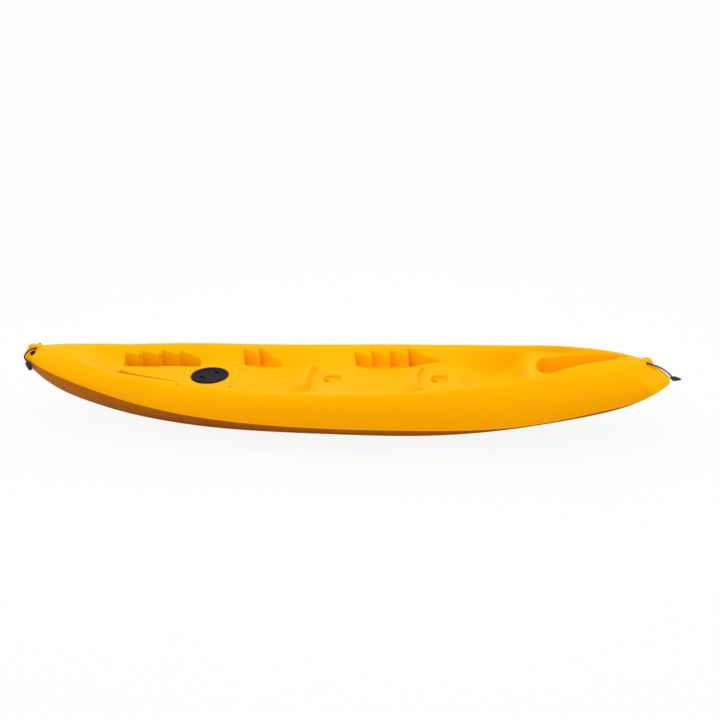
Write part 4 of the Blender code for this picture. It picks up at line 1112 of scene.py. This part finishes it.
def plug_mesh():
    """Plug with a knurled rim, a coin slot and a threaded stem."""
    angle = circle(144)
    profile = rounded([(.0004, .0076), (.0070, .0075), (.0120, .0072), (.0134, .0062),
                       (.0134, .0050), (.0083, .0050)], .0006, 4)
    profile += thread(.0044, -.0080, -.0013, [(.0083, 0), (.0080, -.0005), (.0083, -.0010)])
    profile += [(.0083, -.0085), (.0070, -.0100), (.0004, -.0100)]
    radius, z = columns(profile)
    notch = 1 - smooth((np.cos(angle * 30) + .5) / .6)
    radius = radius + .00012 - .0004 * notch * smooth((radius - .0127) / .0005)
    mesh = outward(grid_mesh("plug", revolve(radius, z, angle), first=(0, 0, .0076),
                             last=(0, 0, -.0100)))
    coin = slot_cutter("coin", size=(.0210, .0026, .0040), taper=(.8, .75), z=.0084)
    return carve(mesh, [(coin, None)], "plug")


put("drain_collar_fine", collar_mesh(), NYLON_DRAIN, "hull", "drain_collar",
    DRAIN)
put("drain_plug_fine", plug_mesh(), NYLON_DRAIN, "plug", "drain_plug", DRAIN,
    angle=38)
put("drain_o_ring_fine", hoop(.0106, .0008, .0039, 96, 12), SEAL_O,
    "plug_seal", "drain_plug_o_ring", DRAIN, angle=60)


# ------------------------------------------------------------------ brass inserts
def insert_mesh():
    """Blind threaded bore in a grooved barrel, its top face at z = 0."""
    bore = [(0, -.0105), (.0026, -.0095)]
    bore += thread(-.0090, -.0012, .0008, [(.0026, 0), (.0030, .0004), (.0026, .0008)])
    barrel = [(.0030, -.0006), (.0034, 0), (.0062, 0), (.0068, -.0001),
              (INSERT_R - .0004, -.0007), (INSERT_R, -.0011)]
    barrel += thread(-.0016, -INSERT_DEPTH + .0010, -.0009,
                     [(INSERT_R, 0), (INSERT_R - .0004, -.0003), (INSERT_R, -.0006)])
    return turned("insert", bore + barrel + [(INSERT_R, -INSERT_DEPTH), (0, -INSERT_DEPTH)], 48)


for k, (x, y) in enumerate(INSERTS):
    put("strap_insert_fine_%d" % (k + 1), insert_mesh(), BRASS,
        "hull", "strap_insert_%d" % (k + 1),
        at(x, y, deck_z(x, y) - .0012), angle=35)


# ------------------------------------------------------------------ rope handles
CUP_R, KNOT_R, KNOT_IN = 0.0092, 0.0082, 0.0035  # grip mouth, knot, knot depth in the grip
STOP_Y = 0.0400                                  # stopper knot on the far side of the lug
BRAID_PITCH, STRANDS = .0145, 4


def bend(points, count):
    """Smooth path through points, count places a span."""
    knots = [Vector(point) for point in points]
    out = []
    for i in range(len(knots) - 1):
        a, b, c, d = (knots[max(i - 1, 0)], knots[i], knots[i + 1],
                      knots[min(i + 2, len(knots) - 1)])
        for k in range(count):
            t = k / count
            out.append(.5 * (2 * b + (c - a) * t + (2 * a - 5 * b + 4 * c - d) * t * t
                             + (3 * b - a - 3 * c + d) * t ** 3))
    out.append(knots[-1])
    return out


def braid(name, path, radius=ROPE_R, sides=40):
    """Braided cord along a path: strands cross over and under in both directions, as relief."""
    path = np.array([tuple(point) for point in path])
    run = np.concatenate([[0], np.cumsum(np.linalg.norm(np.diff(path, axis=0), axis=1))])
    count = int(run[-1] / .00085)
    along = np.linspace(0, run[-1], count)
    centre = np.stack([np.interp(along, run, path[:, k]) for k in range(3)], 1)
    for _ in range(4):
        centre[1:-1] = (centre[:-2] + 2 * centre[1:-1] + centre[2:]) / 4
    # a frame carried along the path without twist
    tangent = np.gradient(centre, axis=0)
    tangent /= np.linalg.norm(tangent, axis=1, keepdims=True)
    u = np.zeros_like(tangent)
    first = np.cross(tangent[0], (0.3, 0.2, 0.9))
    u[0] = first / np.linalg.norm(first)
    for k in range(1, count):
        flat = u[k - 1] - tangent[k] * (u[k - 1] @ tangent[k])
        u[k] = flat / np.linalg.norm(flat)
    v = np.cross(tangent, u)
    angle, along = np.meshgrid(circle(sides), along)
    left = (STRANDS * angle / TURN * 2 + along / BRAID_PITCH * STRANDS) % 2
    right = (STRANDS * angle / TURN * 2 - along / BRAID_PITCH * STRANDS) % 2
    # each yarn is a rounded band; whichever is over shows
    over = (np.floor(left) + np.floor(right)) % 2
    height = np.where(over > .5, np.abs(np.sin(left * math.pi)) ** .6,
                      np.abs(np.sin(right * math.pi)) ** .6)
    skin = radius * .885 + radius * .115 * height
    points = centre[:, None, :] + (u[:, None, :] * np.cos(angle)[..., None]
                                   + v[:, None, :] * np.sin(angle)[..., None]) * skin[..., None]
    mesh = grid_mesh(name, points, first=centre[0], last=centre[-1])
    # strand picks the yarn colour; depth drives the painted shade in the grooves
    for label, values in (("strand", over), ("depth", 1 - height)):
        data = np.concatenate([values.ravel(), [0, 0]]).astype(np.float32)
        mesh.attributes.new(label, 'FLOAT', 'POINT').data.foreach_set("value", data)
    return mesh


def knot_mesh(name, centre, direction):
    """Compact stopper knot: 2.6 turns of cord wound into a ball."""
    z = Vector(direction).normalized()
    x = z.orthogonal().normalized()
    y = z.cross(x)
    radius = KNOT_R - ROPE_R * .82
    path = []
    for t in np.linspace(0, 1, 90):
        a = TURN * 2.6 * t
        lat = (t - .5) * 1.9
        path.append(Vector(centre)
                    + (x * math.cos(a) + y * math.sin(a)) * radius * math.cos(lat) * .95
                    + z * radius * math.sin(lat) * 1.05)
    return braid(name, path, radius=ROPE_R * .80, sides=28)


def join_meshes(name, parts):
    bm = bmesh.new()
    for mesh in parts:
        bm.from_mesh(mesh)
    return to_mesh(name, bm)


# Outlines of the grips, from the end to the mouth: share of the radius, share of the length
BARREL = ((.45, .985), (.78, .90), (.95, .70), (1.0, .45), (.98, .18), (.90, .03))
POINTED = ((.16, .985), (.36, .90), (.62, .72), (.84, .50), (.98, .26), (1.0, .14), (.92, .03))


def grip_mesh(length, radius, form):
    """Moulded grip: a cupped mouth at z = 0, soft grooves round the barrel, a rounded end."""
    angle = circle(128)
    z = np.linspace(.985 * length, .03 * length, 120)
    share = z / length
    outline = [(length * q, radius * p) for p, q in form[::-1]] + [(length, 0)]
    groove = (smooth((np.cos((share - .12) * 2 * math.pi * 7) + .1) / .9)
              * smooth((share - .13) / .05) * smooth((.86 - share) / .05))
    barrel = gentle(outline, z) - .00075 * groove
    # small mould line down each side
    turn = angle % math.pi
    seam = np.exp(-(turn / .03) ** 2) + np.exp(-((turn - math.pi) / .03) ** 2)
    body = revolve(barrel[:, None] + .00018 * seam, z[:, None], angle)
    mouth = rounded([(radius * form[-1][0], .03 * length), (radius * (form[-1][0] - .03), .0004),
                     (CUP_R + .0004, 0), (CUP_R, .0012), (CUP_R, .0110), (.0012, .0135)],
                    .0005, 3)[1:]
    points = np.concatenate([body, revolve(*columns(mouth), angle)], 0)
    return outward(grid_mesh("grip", points, first=(0, 0, length), last=(0, 0, .0135)))


def handle(end, lug, near, start, direction, length, radius, form):
    """Braided rope from the knot in its grip, by the near points and through the lug, to a
    stopper knot on the far side; and the grip itself, from start along direction."""
    way = Vector(direction).normalized()
    knot = Vector(start) + way * KNOT_IN
    stop = Vector((lug.hole_x, STOP_Y, lug.hole_z))
    path = bend([knot, Vector(start) - way * .008, *near, (lug.hole_x, -.0290, lug.hole_z),
                 (lug.hole_x, 0, lug.hole_z), stop], 14)
    rope = join_meshes(end + "_rope_fine", [
        braid(end + "_cord", path), knot_mesh(end + "_ball", knot, way),
        knot_mesh(end + "_stopper", stop, (0, 1, 0))])
    put(end + "_rope_fine", rope, CORD, end + "_handle", end + "_rope", angle=180)
    put(end + "_toggle_fine", grip_mesh(length, radius, form), GRIP,
        end + "_grip", end + "_toggle", at(*start, axis=direction), angle=60)


# the bow grip hangs to port of the stem, the stern grip lies over the tip
handle("bow", BOW_LUG,
       near=[(-1.8220, -.0820, .3720), (-1.8265, -.0740, .3870), (-1.8165, -.0560, .4020),
             (-1.8005, -.0365, .4115), (-1.7860, -.0325, .4142)],
       start=(-1.8115, -.0840, .3510), direction=(.0135, .0020, -.0480),
       length=.0520, radius=.0145, form=BARREL)
handle("stern", STERN_LUG,
       near=[(1.8566, 0, .3365), (1.8530, 0, .3440), (1.8380, 0, .3580),
             (1.8150, -.0020, .3765), (1.7900, -.0080, .3935), (1.7650, -.0210, .4085),
             (1.7440, -.0300, .4190), (1.7320, -.0318, .4230)],
       start=(1.8625, 0, .3262), direction=(.0500, 0, -.0045),
       length=.0500, radius=.0140, form=POINTED)


# ------------------------------------------------------------------ foam blocks, in the hull
def foam_mesh(node):
    """Block with rounded edges and a slightly uneven skin, filling the box of its node."""
    low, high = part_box(node)
    bm = cube(tuple(high - low))
    bmesh.ops.translate(bm, vec=tuple((high + low) / 2), verts=bm.verts)
    bmesh.ops.bevel(bm, geom=bm.edges[:], offset=.007, segments=3, affect='EDGES')
    long_edges = [edge for edge in bm.edges if edge.calc_length() > .03]
    bmesh.ops.subdivide_edges(bm, edges=long_edges, cuts=7, use_grid_fill=True)
    for vert in bm.verts:
        q = vert.co * 60
        wave = math.sin(q.x * 1.7 + q.z) * math.sin(q.y * 1.3 - q.z * .7) - 1
        vert.co += (vert.co - (low + high) / 2).normalized() * .0004 * wave
    return outward(to_mesh(node + "_fine", bm))


for node in ("foam_block_bow", "foam_block_stern"):
    put(node + "_fine", foam_mesh(node), FOAM, "hull", node)


# ------------------------------------------------------------------ stage
def floor_material():
    """Seen directly the floor is near white; what it throws back up on the boat is dimmer."""
    mat = Shader("pale_floor", roughness=.9)
    color = mat.mix(mat.noise(.6, 3, .5, over=(.3, .7)), (.86, .86, .86), (.875, .875, .872))
    mat.wire({"Base Color": color, "Specular IOR Level": .1})
    path = mat.node("LightPath")
    glow = mat.node("Emission", Color=(1, 1, 1), Strength=1.0)
    seen = mat.node("MixShader", Fac=.90)
    both = mat.node("MixShader", Fac=path.outputs["Is Camera Ray"])
    dim = mat.node("BsdfDiffuse", Color=(.68, .67, .66))
    mat.feed(seen.inputs[1], mat.bsdf.outputs["BSDF"])
    mat.feed(seen.inputs[2], glow.outputs[0])
    mat.feed(both.inputs[1], dim.outputs[0])
    mat.feed(both.inputs[2], seen.outputs[0])
    mat.feed(mat.tree.nodes["Material Output"].inputs["Surface"], both.outputs[0])
    return mat.material


def add_floor():
    """Plain round floor, just below the keel."""
    z = -.0006
    radii = np.array([.5, 2, 6, 16, 45.0])[:, None]
    mesh = grid_mesh("floor", revolve(radii, z, circle(96)), first=(0, 0, z))
    floor = bpy.data.objects.new("floor", shade(mesh))
    mesh.materials.append(floor_material())
    SCENE.collection.objects.link(floor)


def add_world():
    """White dome, brightest at the horizon and dimmer overhead."""
    world = bpy.data.worlds.new("soft_studio")
    SCENE.world = world
    world.use_nodes = True
    nodes, link = world.node_tree.nodes, world.node_tree.links.new
    background = nodes["Background"]
    background.inputs["Color"].default_value = (1, 1, 1, 1)
    coord = nodes.new("ShaderNodeTexCoord")
    axes = nodes.new("ShaderNodeSeparateXYZ")
    dome = nodes.new("ShaderNodeMapRange")
    limits = {"From Min": 0.0, "From Max": .8, "To Min": 1.27, "To Max": .83}
    for name, limit in limits.items():
        dome.inputs[name].default_value = limit
    link(coord.outputs["Generated"], axes.inputs[0])
    link(axes.outputs["Z"], dome.inputs["Value"])
    link(dome.outputs["Result"], background.inputs["Strength"])


def add_lamp(name, place, aim, size, power):
    light = bpy.data.lights.new(name, 'AREA')
    light.shape = 'RECTANGLE'
    light.size, light.size_y = size
    light.energy = power
    lamp = bpy.data.objects.new(name, light)
    SCENE.collection.objects.link(lamp)
    lamp.location = place
    lamp.rotation_mode = 'QUATERNION'
    lamp.rotation_quaternion = (Vector(aim) - Vector(place)).to_track_quat('-Z', 'Y')


def add_camera(place, azimuth, elevation, roll, lens):
    """Camera looking down by elevation, turned from +Y towards -X by azimuth; radians."""
    forward = Vector((-math.sin(azimuth) * math.cos(elevation),
                      math.cos(azimuth) * math.cos(elevation), -math.sin(elevation)))
    level = Vector((math.cos(azimuth), math.sin(azimuth), 0))
    up = level.cross(forward)
    right = level * math.cos(roll) + up * math.sin(roll)
    top = -level * math.sin(roll) + up * math.cos(roll)
    data = bpy.data.cameras.new("camera")
    data.lens, data.sensor_width = lens, 36
    camera = bpy.data.objects.new("camera", data)
    SCENE.collection.objects.link(camera)
    camera.matrix_world = Matrix([*zip(right, top, -forward, place), (0, 0, 0, 1)])
    SCENE.camera = camera


add_floor()
add_world()
add_lamp("overhead", place=(0, 0, 4.2), aim=(0, 0, 0), size=(6.0, 4.0), power=60)
add_camera(place=(.8383, -5.3896, 2.8092), azimuth=0.12986, elevation=0.41941, roll=-0.0258,
           lens=52.466)
SCENE.view_settings.view_transform = 'Standard'
SCENE.view_settings.look = 'None'
